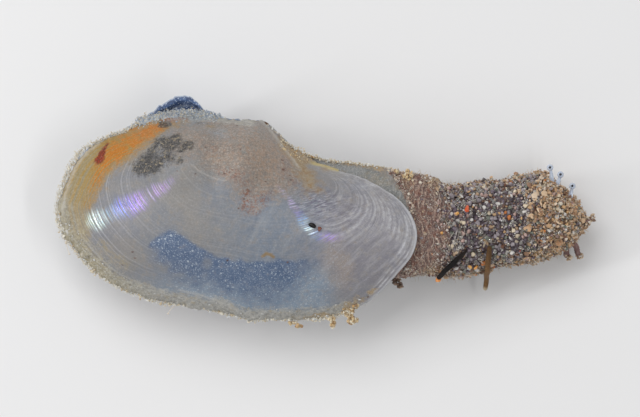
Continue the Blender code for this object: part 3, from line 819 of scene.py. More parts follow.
        f["hump"] = blobs(X, Y, [(180, 96, 60, 33, 0, 0.6, 1.0)], seed, 2.0)
        f["ochre_left"] = f["ochre_left"] * 0.3
        for key in ("orange", "yellow", "speck", "dark", "tail", "red", "chip", "nacre", "streak", "crust", "granules", "shade", "blush"):
            f[key] = f[key] * 0.0
    return {key: np.asarray(value).reshape(shape) for key, value in f.items()}


def valve_material(name):
    m = Mat(name)
    fine = m.noise(9.0, 4.0, 0.6)
    grit = m.noise(26.0, 3.0, 0.7)
    cloud = m.noise(0.5, 3.0, 0.5)
    patch = m.noise(2.3, 4.0, 0.62)
    mid = m.noise(4.6, 4.0, 0.62)

    def rag(mask, noise, amount, lo=0.32, hi=0.68):
        """A soft mask given a grainy outline."""
        return m.step(m.math("MULTIPLY_ADD", m.math("SUBTRACT", noise, 0.5), amount, mask), lo, hi)

    def line_noise(source, scale, detail):
        n = m.node("ShaderNodeTexNoise", noise_dimensions="1D")
        m.link(source, n.inputs["W"])
        n.inputs["Scale"].default_value = scale
        n.inputs["Detail"].default_value = detail
        return n.outputs[0]

    post, front, nacre = m.attr("post"), m.attr("front"), m.attr("nacre")
    lines1 = line_noise(m.attr("g1"), 105.0, 2.0)
    lines2 = line_noise(m.attr("g2"), 58.0, 3.0)
    lines3 = line_noise(m.attr("edge"), 0.42, 1.0)
    lines = m.mix(post, lines1, lines2)
    # body colour: grey, here warmer and there bluer
    base = m.mix(m.step(cloud, 0.36, 0.64), srgb(134, 132, 130), srgb(124, 127, 133))
    base = m.mix(m.mul(m.step(patch, 0.42, 0.7), 0.4), base, srgb(144, 141, 136))
    base = m.mix(m.mul(m.attr("cool"), 0.8), base, m.mix(m.step(patch, 0.35, 0.65), srgb(114, 126, 142), srgb(128, 135, 145)))
    base = m.mix(m.mul(m.attr("lilac"), 0.75), base, m.mix(m.step(patch, 0.35, 0.65), srgb(134, 131, 141), srgb(146, 144, 149)))
    base = m.mix(m.mul(rag(m.attr("pink"), patch, 0.8, 0.1, 0.9), 0.85), base, m.mix(m.step(patch, 0.4, 0.62), srgb(131, 119, 108), srgb(141, 132, 124)))
    base = m.mix(m.mul(m.mul(m.attr("pink"), m.step(mid, 0.48, 0.64)), 0.6), base, srgb(152, 120, 96))
    base = m.mix(m.mul(m.mul(m.attr("pink"), m.step(m.noise(3.3, 3.0, 0.6), 0.54, 0.66)), 0.5), base, srgb(118, 128, 130))
    base = m.mix(m.mul(m.mul(m.attr("pink"), m.step(m.noise(6.5, 3.0, 0.65), 0.52, 0.64)), 0.4), base, srgb(172, 162, 150))
    base = m.mix(m.mul(rag(m.attr("warm"), mid, 1.0, -0.2, 1.4), 0.7), base, srgb(160, 146, 136))
    base = m.mix(m.mul(m.attr("haze"), 0.86), base, m.mix(m.step(mid, 0.35, 0.65), srgb(124, 144, 164), srgb(144, 155, 168)))
    base = m.mix(m.mul(m.attr("shade"), 0.5), base, srgb(108, 106, 104))
    base = m.mix(m.mul(m.attr("blush"), m.mul(m.step(mid, 0.3, 0.6), 0.55)), base, srgb(168, 142, 120))
    # faint growth lines, lighter on the crests of their bump and darker between: part growth banding, part painted
    # light and shade
    strength = m.math("MULTIPLY_ADD", post, 0.2, m.math("MULTIPLY_ADD", front, 0.22, 0.09))
    strength = m.mul(strength, m.math("MULTIPLY_ADD", m.attr("plain"), -0.8, 1.0))
    base = m.mix(m.mul(m.step(lines, 0.54, 0.72), strength), base, srgb(188, 188, 190))
    base = m.mix(m.mul(m.step(lines, 0.46, 0.3), m.mul(strength, 0.8)), base, srgb(92, 92, 100))
    uneven = m.math("MULTIPLY_ADD", m.step(m.noise(2.4, 3.0, 0.65), 0.36, 0.62), 0.65, 0.2)
    # painted light and shade on the rear growth ridges: darker between the arcs, near-white on their crests
    base = m.mix(m.mul(m.mul(post, m.step(m.attr("arc"), 0.3, 0.0)), 0.18), base, srgb(112, 110, 122))
    base = m.mix(m.mul(m.attr("arc"), uneven), base, srgb(212, 212, 217))
    # slanting streaks on the clear part of the disc
    rays = m.noise(1.5, 4.0, 0.6, vec=m.slant((1.5, 0.16, 1.0), -0.42))
    base = m.mix(m.mul(m.mul(m.attr("cool"), m.step(rays, 0.5, 0.68)), 0.36), base, srgb(156, 160, 164))
    base = m.mix(m.mul(m.mul(m.attr("cool"), m.step(rays, 0.48, 0.32)), 0.4), base, srgb(104, 114, 128))
    scratch = m.noise(1.6, 4.0, 0.65, vec=m.slant((0.4, 2.6, 1.0), 0.72, (5, 2, 7)))
    base = m.mix(m.mul(m.mul(m.attr("lilac"), m.step(scratch, 0.5, 0.66)), 0.46), base, srgb(168, 167, 172))
    base = m.mix(m.mul(m.mul(m.attr("lilac"), m.step(scratch, 0.45, 0.34)), 0.3), base, srgb(108, 106, 114))
    # blue band
    blue = m.attr("blue")
    bluecol = m.mix(m.step(patch, 0.3, 0.7), srgb(70, 92, 125), srgb(95, 114, 142))
    base = m.mix(m.mul(rag(blue, mid, 0.7, 0.0, 1.0), 0.9), base, bluecol)
    # silvery creases at the rear
    silver = m.mul(m.attr("purple"), m.step(m.noise(2.2, 3.0, 0.6, vec=m.slant((0.8, 4.0, 1.0), 0.3)), 0.44, 0.62))
    base = m.mix(m.mul(silver, 0.7), base, srgb(96, 90, 110))
    silver2 = m.mul(m.attr("purple"), m.step(m.noise(2.6, 3.0, 0.6, vec=m.slant((0.8, 5.0, 1.0), 0.3, (3, 1, 2))), 0.52, 0.64))
    base = m.mix(m.mul(silver2, 0.6), base, srgb(184, 184, 192))
    # beige margin and stains
    ochre = m.mul(m.attr("ochre_left"), m.step(lines3, 0.38, 0.62))
    base = m.mix(m.mul(m.attr("ochre_left"), 0.75), base, srgb(148, 132, 80))
    base = m.mix(m.mul(ochre, 0.75), base, srgb(164, 126, 34))
    base = m.mix(m.mul(m.attr("yellow"), m.mul(m.step(mid, 0.35, 0.6), 0.6)), base, srgb(168, 150, 98))
    beigemix = m.step(m.math("MULTIPLY_ADD", mid, 0.6, m.mul(grit, 0.5)), 0.35, 0.75)
    beigecol = m.mix(front, m.mix(beigemix, srgb(142, 140, 134), srgb(202, 200, 193)), m.mix(beigemix, srgb(148, 138, 112), srgb(192, 185, 162)))
    beigecol = m.mix(m.mul(m.step(patch, 0.52, 0.66), 0.5), beigecol, srgb(164, 148, 112))
    base = m.mix(m.mul(rag(m.attr("beige"), mid, 1.2, 0.1, 1.0), 0.85), base, beigecol)
    base = m.mix(m.mul(m.mul(m.mul(m.attr("beige"), m.math("MULTIPLY_ADD", front, 0.8, 0.15)), m.step(lines3, 0.52, 0.7)), 0.38), base, srgb(196, 188, 162))
    base = m.mix(m.mul(m.mul(m.mul(m.attr("beige"), front), m.step(lines3, 0.47, 0.36)), 0.32), base, srgb(112, 108, 98))
    base = m.mix(m.mul(m.mul(m.attr("beige"), m.step(m.noise(9.0, 3.0, 0.7), 0.54, 0.62)), 0.6), base, srgb(214, 213, 208))
    base = m.mix(m.mul(m.mul(m.attr("beige"), m.step(m.noise(7.0, 3.0, 0.7), 0.42, 0.34)), 0.24), base, srgb(112, 108, 100))
    along = m.math("MULTIPLY_ADD", front, 1.3, 0.35)
    streaky = m.math("MULTIPLY_ADD", m.math("SUBTRACT", line_noise(m.attr("edge"), 0.62, 2.0), 0.5), along,
                     m.mul(m.math("SUBTRACT", mid, 0.5), 0.9))
    blotch = m.mul(m.math("SUBTRACT", patch, 0.5), 1.1)
    streaky = m.add(streaky, blotch)
    orange = m.mul(m.step(m.math("MULTIPLY_ADD", streaky, 0.7, m.attr("orange")), -0.05, 0.95), m.step(m.attr("orange"), 0.0, 0.16))
    deep = m.step(m.math("MULTIPLY_ADD", streaky, 1.0, m.attr("orange")), 0.45, 1.1)
    orangecol = m.mix(deep, srgb(160, 126, 52), srgb(196, 116, 6))
    base = m.mix(m.mul(orange, 0.9), base, orangecol)
    base = m.mix(m.mul(m.mul(orange, m.step(fine, 0.5, 0.66)), 0.35), base, srgb(150, 86, 22))
    base = m.mix(m.mul(m.mul(orange, m.step(m.noise(12.0, 3.0, 0.7), 0.56, 0.66)), 0.4), base, srgb(206, 176, 122))
    base = m.mix(m.mul(rag(m.attr("ochre"), patch, 1.4, 0.0, 1.1), 0.85), base,
                 m.mix(m.step(mid, 0.36, 0.66), srgb(158, 140, 108), srgb(144, 112, 64)))
    base = m.mix(m.mul(m.attr("streak"), 0.85), base, srgb(196, 176, 104))
    base = m.mix(m.mul(rag(m.attr("crust"), mid, 1.3, 0.25, 0.9), 0.85), base,
                 m.mix(m.step(grit, 0.35, 0.6), srgb(138, 104, 60), srgb(196, 178, 144)))
    # dark granular patch, with pale grains in it
    dark = rag(m.attr("dark"), m.math("MULTIPLY_ADD", fine, 0.6, m.mul(mid, 0.4)), 1.9, 0.1, 0.85)
    dots_a = m.step(m.noise(8.0, 3.0, 0.7), 0.38, 0.56)
    base = m.mix(m.mul(dark, 0.75), base, srgb(82, 77, 72))
    base = m.mix(m.mul(m.mul(dark, dots_a), 0.8), base, srgb(50, 51, 54))
    base = m.mix(m.mul(m.mul(dark, m.step(m.noise(6.0, 3.0, 0.65), 0.54, 0.62)), 0.66), base, srgb(168, 154, 128))
    white = m.mul(m.attr("granules"), m.step(m.noise(9.0, 3.0, 0.7), 0.42, 0.58))
    base = m.mix(m.mul(m.attr("granules"), 0.6), base, srgb(116, 128, 142))
    base = m.mix(m.mul(white, 0.8), base, srgb(180, 186, 190))
    # pale dots in the band and under it
    lit = m.math("MAXIMUM", blue, m.mul(m.attr("haze"), 0.8))
    lit = m.math("MAXIMUM", lit, m.mul(m.attr("warm"), 0.6))
    for scale, size, strong, seed_at in (
        (6.4, 0.10, 0.55, (0, 0, 0)), (8.6, 0.13, 0.42, (3, 5, 1)), (11.0, 0.15, 0.3, (8, 1, 4)), (3.2, 0.06, 0.6, (2, 7, 5)),
    ):  # fmt: skip
        dist, pick = m.cells(scale, vec=m.stretch((1, 1, 1), seed_at))
        dot = m.math("LESS_THAN", dist, m.math("MULTIPLY_ADD", pick, 0.16, size))
        base = m.mix(m.mul(m.mul(dot, lit), strong), base, srgb(190, 200, 210))
    # specks
    tail = m.mul(m.attr("tail"), m.step(m.noise(7.0, 3.0, 0.75), 0.47, 0.55))
    base = m.mix(m.mul(tail, 0.85), base, m.mix(m.step(fine, 0.4, 0.6), srgb(104, 60, 40), srgb(146, 102, 80)))
    dist, pick = m.cells(7.0)
    many = m.math("MULTIPLY_ADD", m.attr("pink"), 0.3, 0.02)
    spot = m.mul(m.math("LESS_THAN", dist, m.math("MULTIPLY_ADD", pick, 0.6, 0.08)), m.math("LESS_THAN", pick, many))
    base = m.mix(m.mul(spot, 0.6), base, srgb(104, 66, 46))
    base = m.mix(m.mul(m.attr("speck"), 0.9), base, m.mix(m.step(fine, 0.4, 0.6), srgb(64, 38, 28), srgb(110, 70, 50)))
    base = m.mix(m.mul(m.attr("red"), 0.95), base, m.mix(m.step(fine, 0.4, 0.65), srgb(98, 24, 8), srgb(158, 54, 20)))
    base = m.mix(m.mul(m.attr("chip"), 0.85), base, srgb(140, 116, 78))
    base = m.mix(m.mul(m.attr("pale"), 0.55), base, srgb(198, 195, 188))
    rim = m.mul(m.step(m.attr("edge"), 3.6, 0.4), m.attr("clean"))
    base = m.mix(m.mul(rim, 0.75), base, srgb(212, 214, 218))
    # frosted grain over the whole valve
    frost = m.noise(10.0, 3.0, 0.75)
    frosty = m.math("MULTIPLY_ADD", m.attr("pink"), 0.17, 0.12)
    base = m.mix(m.mul(m.step(frost, 0.52, 0.66), frosty), base, srgb(204, 202, 198))
    base = m.mix(m.mul(m.step(frost, 0.48, 0.34), frosty), base, srgb(72, 68, 70))
    # painted highlight: bright nacre tints in streaks along the growth lines, where the metallic thin film also
    # reflects the strip lights
    streaks = m.step(line_noise(m.attr("g1"), 125.0, 2.0), 0.46, 0.58)
    glow = m.mul(nacre, m.math("MULTIPLY_ADD", streaks, 0.85, 0.15))
    tint = m.ramp(m.math("MULTIPLY_ADD", m.math("SUBTRACT", fine, 0.5), 0.35, m.attr("hue")), [
        (0.0, srgb(232, 238, 196)), (0.12, srgb(214, 244, 248)), (0.26, srgb(142, 192, 252)),
        (0.42, srgb(144, 146, 244)), (0.56, srgb(190, 154, 240)), (0.72, srgb(214, 204, 242)), (0.9, srgb(236, 202, 220)),
    ])  # fmt: skip
    base = m.mix(m.mul(glow, 0.95), base, tint)
    # painted highlight: near-white streaks in the nacre glints
    painted_glint_streaks = m.mul(m.step(line_noise(m.attr("g1"), 170.0, 1.0), 0.55, 0.66), m.step(m.noise(3.0, 3.0, 0.6), 0.4, 0.55))
    base = m.mix(m.mul(m.mul(glow, painted_glint_streaks), 0.7), base, srgb(242, 246, 252))
    inside = m.attr("inside")
    base = m.mix(m.mul(inside, 0.6), base, srgb(140, 148, 160))
    # the lower valve's bare rim and its blue hump
    outer_rim = m.mul(m.attr("flange"), m.step(m.attr("edge"), 11.0, 5.0))
    rimcol = m.mix(m.step(patch, 0.42, 0.6), srgb(196, 196, 190), srgb(150, 164, 188))
    base = m.mix(m.mul(outer_rim, 0.85), base, rimcol)
    hump = m.attr("hump")
    humpcol = m.mix(m.step(mid, 0.35, 0.65), srgb(38, 62, 104), srgb(74, 100, 142))
    base = m.mix(m.mul(hump, 0.95), base, humpcol)
    for scale, size, seed_at in ((6.0, 0.11, (1, 2, 3)), (9.0, 0.13, (5, 2, 9))):
        dist, pick = m.cells(scale, vec=m.stretch((1, 1, 1), seed_at))
        dot = m.math("LESS_THAN", dist, m.math("MULTIPLY_ADD", pick, 0.22, size))
        base = m.mix(m.mul(m.mul(dot, hump), 0.62), base, srgb(196, 210, 228))
    base = m.mix(m.mul(m.mul(hump, m.step(m.attr("edge"), 1.6, 0.5)), 0.75), base, srgb(186, 200, 218))
    rough_mask = m.math(
        "MAXIMUM", m.math("MAXIMUM", m.attr("beige"), m.attr("orange")), m.attr("crust"), clamp=True
    )
    rough = m.math("MULTIPLY_ADD", rough_mask, 0.25, m.math("MULTIPLY_ADD", patch, 0.2, 0.3))
    rough = m.math("SUBTRACT", rough, m.mul(nacre, 0.18))
    film = m.mul(m.step(nacre, 0.05, 0.5), m.math("MULTIPLY_ADD", m.noise(1.4, 2.0, 0.5), 300.0, 330.0))
    h = m.add(m.mul(lines, m.math("MULTIPLY_ADD", nacre, 0.8, 0.35)), m.mul(fine, 0.3))
    normal = m.bump(h, 0.000018, 0.8)
    grain = m.mul(grit, m.math("MULTIPLY_ADD", rough_mask, 1.2, 0.2))
    normal = m.bump(m.add(grain, m.add(m.mul(white, 0.5), m.mul(dark, m.mul(dots_a, -0.5)))), 0.00004, 0.8, normal)
    mat = m.set(Base_Color=base, Roughness=rough, Normal=normal, Metallic=m.mul(glow, 0.35))
    m.shader.inputs["IOR"].default_value = 1.5
    m.shader.inputs["Specular IOR Level"].default_value = 0.36
    m.link(film, m.shader.inputs["Thin Film Thickness"])
    m.shader.inputs["Thin Film IOR"].default_value = 1.36
    m.shader.inputs["Subsurface Weight"].default_value = 0.15
    m.shader.inputs["Subsurface Radius"].default_value = (1.0, 0.95, 0.9)
    m.shader.inputs["Subsurface Scale"].default_value = 0.0004
    return mat


valve_mat = valve_material("shell_left")
left, left_p, left_n, left_outer = valve_mesh(
    "shell_left", LEFT, 1, 205, 440, 14, valve_mat, 7
)
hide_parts("left_valve")
right, right_p, right_n, right_outer = valve_mesh(
    "shell_right", RIGHT, -1, 92, 340, 10, valve_mat, 21
)
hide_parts("right_valve")

# ------------------------------------------------------------------------------ the sheath's shape
SLEEVE = np.array([
    (4.30, 2.20, -3.75, 2.62, 5.45), (5.00, 2.12, -3.62, 2.40, 5.42), (5.80, 1.95, -3.60, 1.70, 5.30),
    (6.65, 1.60, -3.75, 0.85, 5.05), (7.40, 1.55, -3.72, 0.22, 4.82), (8.20, 1.65, -3.62, 0.00, 4.65),
    (9.20, 1.66, -3.30, 0.00, 4.52), (10.20, 1.78, -3.05, 0.00, 4.48), (11.20, 2.15, -2.92, 0.00, 4.50),
    (12.20, 2.10, -2.75, 0.00, 4.45), (13.05, 1.55, -2.35, 0.06, 4.20), (13.75, 0.85, -1.90, 0.42, 3.72),
    (14.22, 0.20, -1.42, 1.05, 3.05),
])  # fmt: skip


def hermite(xs, ys, x):
    """Smooth curve through points, without overshoot."""
    xs, ys, x = np.asarray(xs, float), np.asarray(ys, float), np.asarray(x, float)
    d = np.diff(ys) / np.diff(xs)
    m = np.concatenate([[d[0]], (d[:-1] + d[1:]) / 2, [d[-1]]])
    flat = d[:-1] * d[1:] <= 0
    m[1:-1] = np.where(flat, 0.0, m[1:-1])
    i = np.clip(np.searchsorted(xs, x) - 1, 0, len(xs) - 2)
    h = xs[i + 1] - xs[i]
    s = np.clip((x - xs[i]) / h, 0, 1)
    return (
        (2 * s**3 - 3 * s**2 + 1) * ys[i]
        + (s**3 - 2 * s**2 + s) * h * m[i]
        + (-2 * s**3 + 3 * s**2) * ys[i + 1]
        + (s**3 - s**2) * h * m[i + 1]
    )


def sleeve_at(x):
    """Middle y, middle z, half width and half height of the sheath's section, in drawing mm."""
    dorsal, ventral, low, high = (hermite(SLEEVE[:, 0], SLEEVE[:, k], x) for k in (1, 2, 3, 4))
    return (dorsal + ventral) / 2, (low + high) / 2, (dorsal - ventral) / 2, (high - low) / 2


def sleeve_place(x, turn, out=0.0, power=2.3):
    """Point of the sheath: turn 0 is dorsal, 90 degrees is on top; row frame, mm."""
    my, mz, wide, tall = sleeve_at(x)
    c, s = np.cos(turn), np.sin(turn)
    y = my + (wide + out) * np.sign(c) * np.abs(c) ** (2 / power)
    z = mz + (tall + out) * np.sign(s) * np.abs(s) ** (2 / power)
    return np.stack([np.asarray(x) + SHIFT[0] + 0 * y, y + SHIFT[1], z], axis=-1)


def bulge(p):
    """How far the coated sheath swells out at places near it, mm."""
    swell = 0.26 * fbm(p * 1.3, 3, 901) + 0.12 * fbm(p * 4.0, 2, 902)
    return swell * smooth(5.8, 7.2, p[:, 0])


def sleeve_top(x, y, out=0.0, power=2.3):
    """Point on top of the sheath above a place of the drawing (mm)."""
    my, mz, wide, tall = sleeve_at(np.asarray(x, float))
    u = np.clip(np.abs((y - my) / (wide + out)), 0, 1)
    z = mz + (tall + out) * (1 - u**power) ** (1 / power)
    p = np.array([float(x) + SHIFT[0], float(y) + SHIFT[1], float(z)])
    p[2] += float(bulge(p[None])[0])
    return p


X0, X1 = 3.80, 14.22


def tip_scale(x):
    """The sheath's rounded end: its section shrinks behind the last station."""
    u = np.clip((np.asarray(x) - 13.95) / (14.50 - 13.95), 0, 1)
    return np.sqrt(np.clip(1 - u**2.2, 0, 1))


def sleeve_full(x, turn, out=0.0):
    """As sleeve_place, on to the closed tip."""
    x = np.asarray(x, float)
    xs = np.minimum(x, X1)
    my, mz, wide, tall = sleeve_at(xs)
    k = tip_scale(x)
    c, s = np.cos(turn), np.sin(turn)
    y = my + (wide + out) * k * np.sign(c) * np.abs(c) ** (2 / 2.3)
    z = mz + (tall + out) * k * np.sign(s) * np.abs(s) ** (2 / 2.3)
    p = np.stack([x + SHIFT[0] + 0 * y, y + SHIFT[1], z], axis=-1)
    push = bulge(p.reshape(-1, 3)).reshape(p.shape[:-1]) * k
    p[..., 1] += push * c
    p[..., 2] += push * s
    return p


# ------------------------------------------------------------------------------------- small solids
def ico(sub):
    bm = bmesh.new()
    bmesh.ops.create_icosphere(bm, subdivisions=sub, radius=1.0)
    v = np.array([tuple(p.co) for p in bm.verts])
    f = np.array([[p.index for p in face.verts] for face in bm.faces])
    bm.free()
    return v, f


ICO = {k: ico(k) for k in (1, 2, 3)}


def turns(rng, n):
    q = rng.normal(size=(n, 4))
    q /= np.linalg.norm(q, axis=1, keepdims=True)
    w, x, y, z = q.T
    return np.stack(
        [
            np.stack([1 - 2 * (y * y + z * z), 2 * (x * y - z * w), 2 * (x * z + y * w)], -1),
            np.stack([2 * (x * y + z * w), 1 - 2 * (x * x + z * z), 2 * (y * z - x * w)], -1),
            np.stack([2 * (x * z - y * w), 2 * (y * z + x * w), 1 - 2 * (x * x + y * y)], -1),
        ],
        axis=1,
    )


def rocks(name, centres, half, seed, material, sub=2, cuts=9, cut=(0.42, 0.82), rough=0.05,
          flat=True, attrs=None, squash_to=None):
    """Broken grains: little spheres with random planes cut off, turned at random."""
    rng = np.random.default_rng(seed)
    base, faces = ICO[sub]
    n = len(centres)
    half = np.broadcast_to(np.asarray(half, float), (n, 3))
    v = np.repeat(base[None], n, axis=0)
    for _ in range(cuts):
        plane = rng.normal(size=(n, 1, 3))
        plane /= np.linalg.norm(plane, axis=2, keepdims=True)
        at = rng.uniform(*cut, size=(n, 1))
        over = np.maximum(0.0, np.sum(v * plane, axis=2) - at)
        v = v - over[..., None] * plane
    v = v * (1 + rng.normal(0, rough, size=(n, len(base), 1)))
    v = v * half[:, None, :]
    if squash_to is None:
        v = np.einsum("nij,nvj->nvi", turns(rng, n), v)
    else:
        # thin side along the given direction
        z = squash_to / np.linalg.norm(squash_to, axis=1, keepdims=True)
        z = z + rng.normal(0, 0.25, size=z.shape)
        z /= np.linalg.norm(z, axis=1, keepdims=True)
        h = rng.normal(size=z.shape)
        x = np.cross(h, z)
        x /= np.linalg.norm(x, axis=1, keepdims=True)
        y = np.cross(z, x)
        v = v[..., :1] * x[:, None] + v[..., 1:2] * y[:, None] + v[..., 2:] * z[:, None]
    v = v + np.asarray(centres)[:, None, :]
    f = (faces[None] + (np.arange(n) * len(base))[:, None, None]).reshape(-1, 3)
    at = {"tone": np.repeat(rng.random(n), len(base))}
    for key, value in (attrs or {}).items():
        at[key] = np.repeat(value, len(base))
    return add_mesh(name, v.reshape(-1, 3), f, material, not flat, at)


def tubes(name, paths, radii, material, sides=5, seed=0, wobble=0.0, attrs=None):
    """Round strands along lists of points; radii is one list per path."""
    verts, faces, start = [], [], 0
    along, which = [], []
    rng = np.random.default_rng(seed)
    for number, (path, rad) in enumerate(zip(paths, radii)):
        p = np.asarray(path, float)
        rad = np.broadcast_to(np.asarray(rad, float), (len(p),))
        tangent = np.gradient(p, axis=0)
        tangent /= np.maximum(np.linalg.norm(tangent, axis=1, keepdims=True), 1e-9)
        ref = np.array([0.0, 0.0, 1.0]) if abs(tangent[0, 2]) < 0.8 else np.array([1.0, 0.0, 0.0])
        side = np.cross(tangent, ref)
        side /= np.maximum(np.linalg.norm(side, axis=1, keepdims=True), 1e-9)
        up = np.cross(side, tangent)
        a = np.arange(sides) / sides * 2 * math.pi
        r = rad[:, None] * (1 + rng.uniform(-wobble, wobble, size=(len(p), sides)))
        ring = p[:, None] + r[..., None] * (
            np.cos(a)[None, :, None] * side[:, None] + np.sin(a)[None, :, None] * up[:, None]
        )
        verts += [ring.reshape(-1, 3), p[:1], p[-1:]]
        faces.append(grid_faces(len(p), sides, start=start))
        first, last = start + len(p) * sides, start + len(p) * sides + 1
        k = np.arange(sides)
        tri1 = np.column_stack([np.full(sides, first), start + (k + 1) % sides, start + k])
        base = start + (len(p) - 1) * sides
        tri2 = np.column_stack([np.full(sides, last), base + k, base + (k + 1) % sides])
        faces += [tri1, tri2]
        s = np.linspace(0, 1, len(p))
        along += [np.repeat(s, sides), [0.0], [1.0]]
        which.append(np.full(len(p) * sides + 2, rng.random()))
        start = last + 1
    at = {"along": np.concatenate(along), "tone": np.concatenate(which)}
    return add_mesh(name, np.concatenate(verts), faces, material, True, at)


def spread(seed, n, reach, place, size, limit=70000):
    """Dart throwing: places with their sizes, none nearer to another than their sizes allow."""
    rng = np.random.default_rng(seed)
    cell = 0.36
    grid = {}
    kept, radii, args = [], [], []
    u = rng.random((limit, reach))
    pts = place(u)
    rad = size(u, rng)
    for p, r, a in zip(pts, rad, u):
        if r <= 0:
            continue
        key = (int(p[0] // cell), int(p[1] // cell), int(p[2] // cell))
        ok = True
        for dx in (-1, 0, 1):
            for dy in (-1, 0, 1):
                for dz in (-1, 0, 1):
                    for q, s in grid.get((key[0] + dx, key[1] + dy, key[2] + dz), ()):
                        if (p[0] - q[0]) ** 2 + (p[1] - q[1]) ** 2 + (p[2] - q[2]) ** 2 < (
                            0.64 * (r + s)
                        ) ** 2:
                            ok = False
                            break
                    if not ok:
                        break
                if not ok:
                    break
            if not ok:
                break
        if ok:
            grid.setdefault(key, []).append((p, r))
            kept.append(p)
            radii.append(r)
            args.append(a)
            if len(kept) >= n:
                break
    return np.array(kept), np.array(radii), np.array(args)


# -------------------------------------------------------------------------------------- the sheath
def skin_material():
    m = Mat("sheath_skin")
    fine = m.noise(7.0, 4.0, 0.65)
    grit = m.noise(22.0, 3.0, 0.7)
    fold_and_shade = m.attr("fold_and_shade")
    body = m.mix(m.step(fine, 0.35, 0.65), srgb(84, 60, 58), srgb(128, 96, 86))
    # painted light and shade on the folds: lighter on their crests, darker in the troughs
    body = m.mix(m.mul(m.step(fold_and_shade, 0.5, 0.95), 0.7), body, srgb(176, 152, 136))
    body = m.mix(m.mul(m.step(fold_and_shade, 0.3, 0.02), 0.5), body, srgb(66, 46, 48))
    flecks = m.mul(m.step(grit, 0.52, 0.62), m.step(m.noise(3.1, 2.0, 0.5), 0.32, 0.55))
    body = m.mix(m.mul(flecks, 0.75), body, srgb(210, 194, 174))
    strands = m.step(m.noise(4.0, 4.0, 0.7, vec=m.stretch((3.2, 0.8, 0.8))), 0.56, 0.68)
    body = m.mix(m.mul(strands, 0.65), body, srgb(194, 174, 160))
    rust = m.step(m.noise(2.6, 3.0, 0.6, vec=m.stretch((1, 1, 1), (7, 3, 1))), 0.52, 0.66)
    body = m.mix(m.mul(rust, 0.55), body, srgb(118, 66, 46))
    dark = m.mix(m.step(grit, 0.4, 0.62), srgb(58, 47, 54), srgb(118, 102, 108))
    dark = m.mix(m.mul(m.step(m.noise(1.2, 3.0, 0.6, vec=m.stretch((1, 1, 1), (2, 9, 4))), 0.46, 0.66), 0.6), dark, srgb(112, 88, 70))
    body = m.mix(m.attr("coat"), body, dark)
    tan = m.mix(m.step(fine, 0.36, 0.62), srgb(96, 72, 52), m.mix(m.step(grit, 0.35, 0.65), srgb(150, 118, 84), srgb(206, 182, 148)))
    body = m.mix(m.mul(m.attr("tan"), m.step(fine, 0.28, 0.5)), body, tan)
    normal = m.bump(m.add(m.mul(fine, 0.6), m.mul(grit, 0.4)), 0.00006, 0.8)
    mat = m.set(Base_Color=body, Roughness=m.math("MULTIPLY_ADD", grit, 0.3, 0.38), Normal=normal)
    m.shader.inputs["Subsurface Weight"].default_value = 0.1
    m.shader.inputs["Subsurface Radius"].default_value = (1.0, 0.6, 0.5)
    m.shader.inputs["Subsurface Scale"].default_value = 0.0003
    return mat


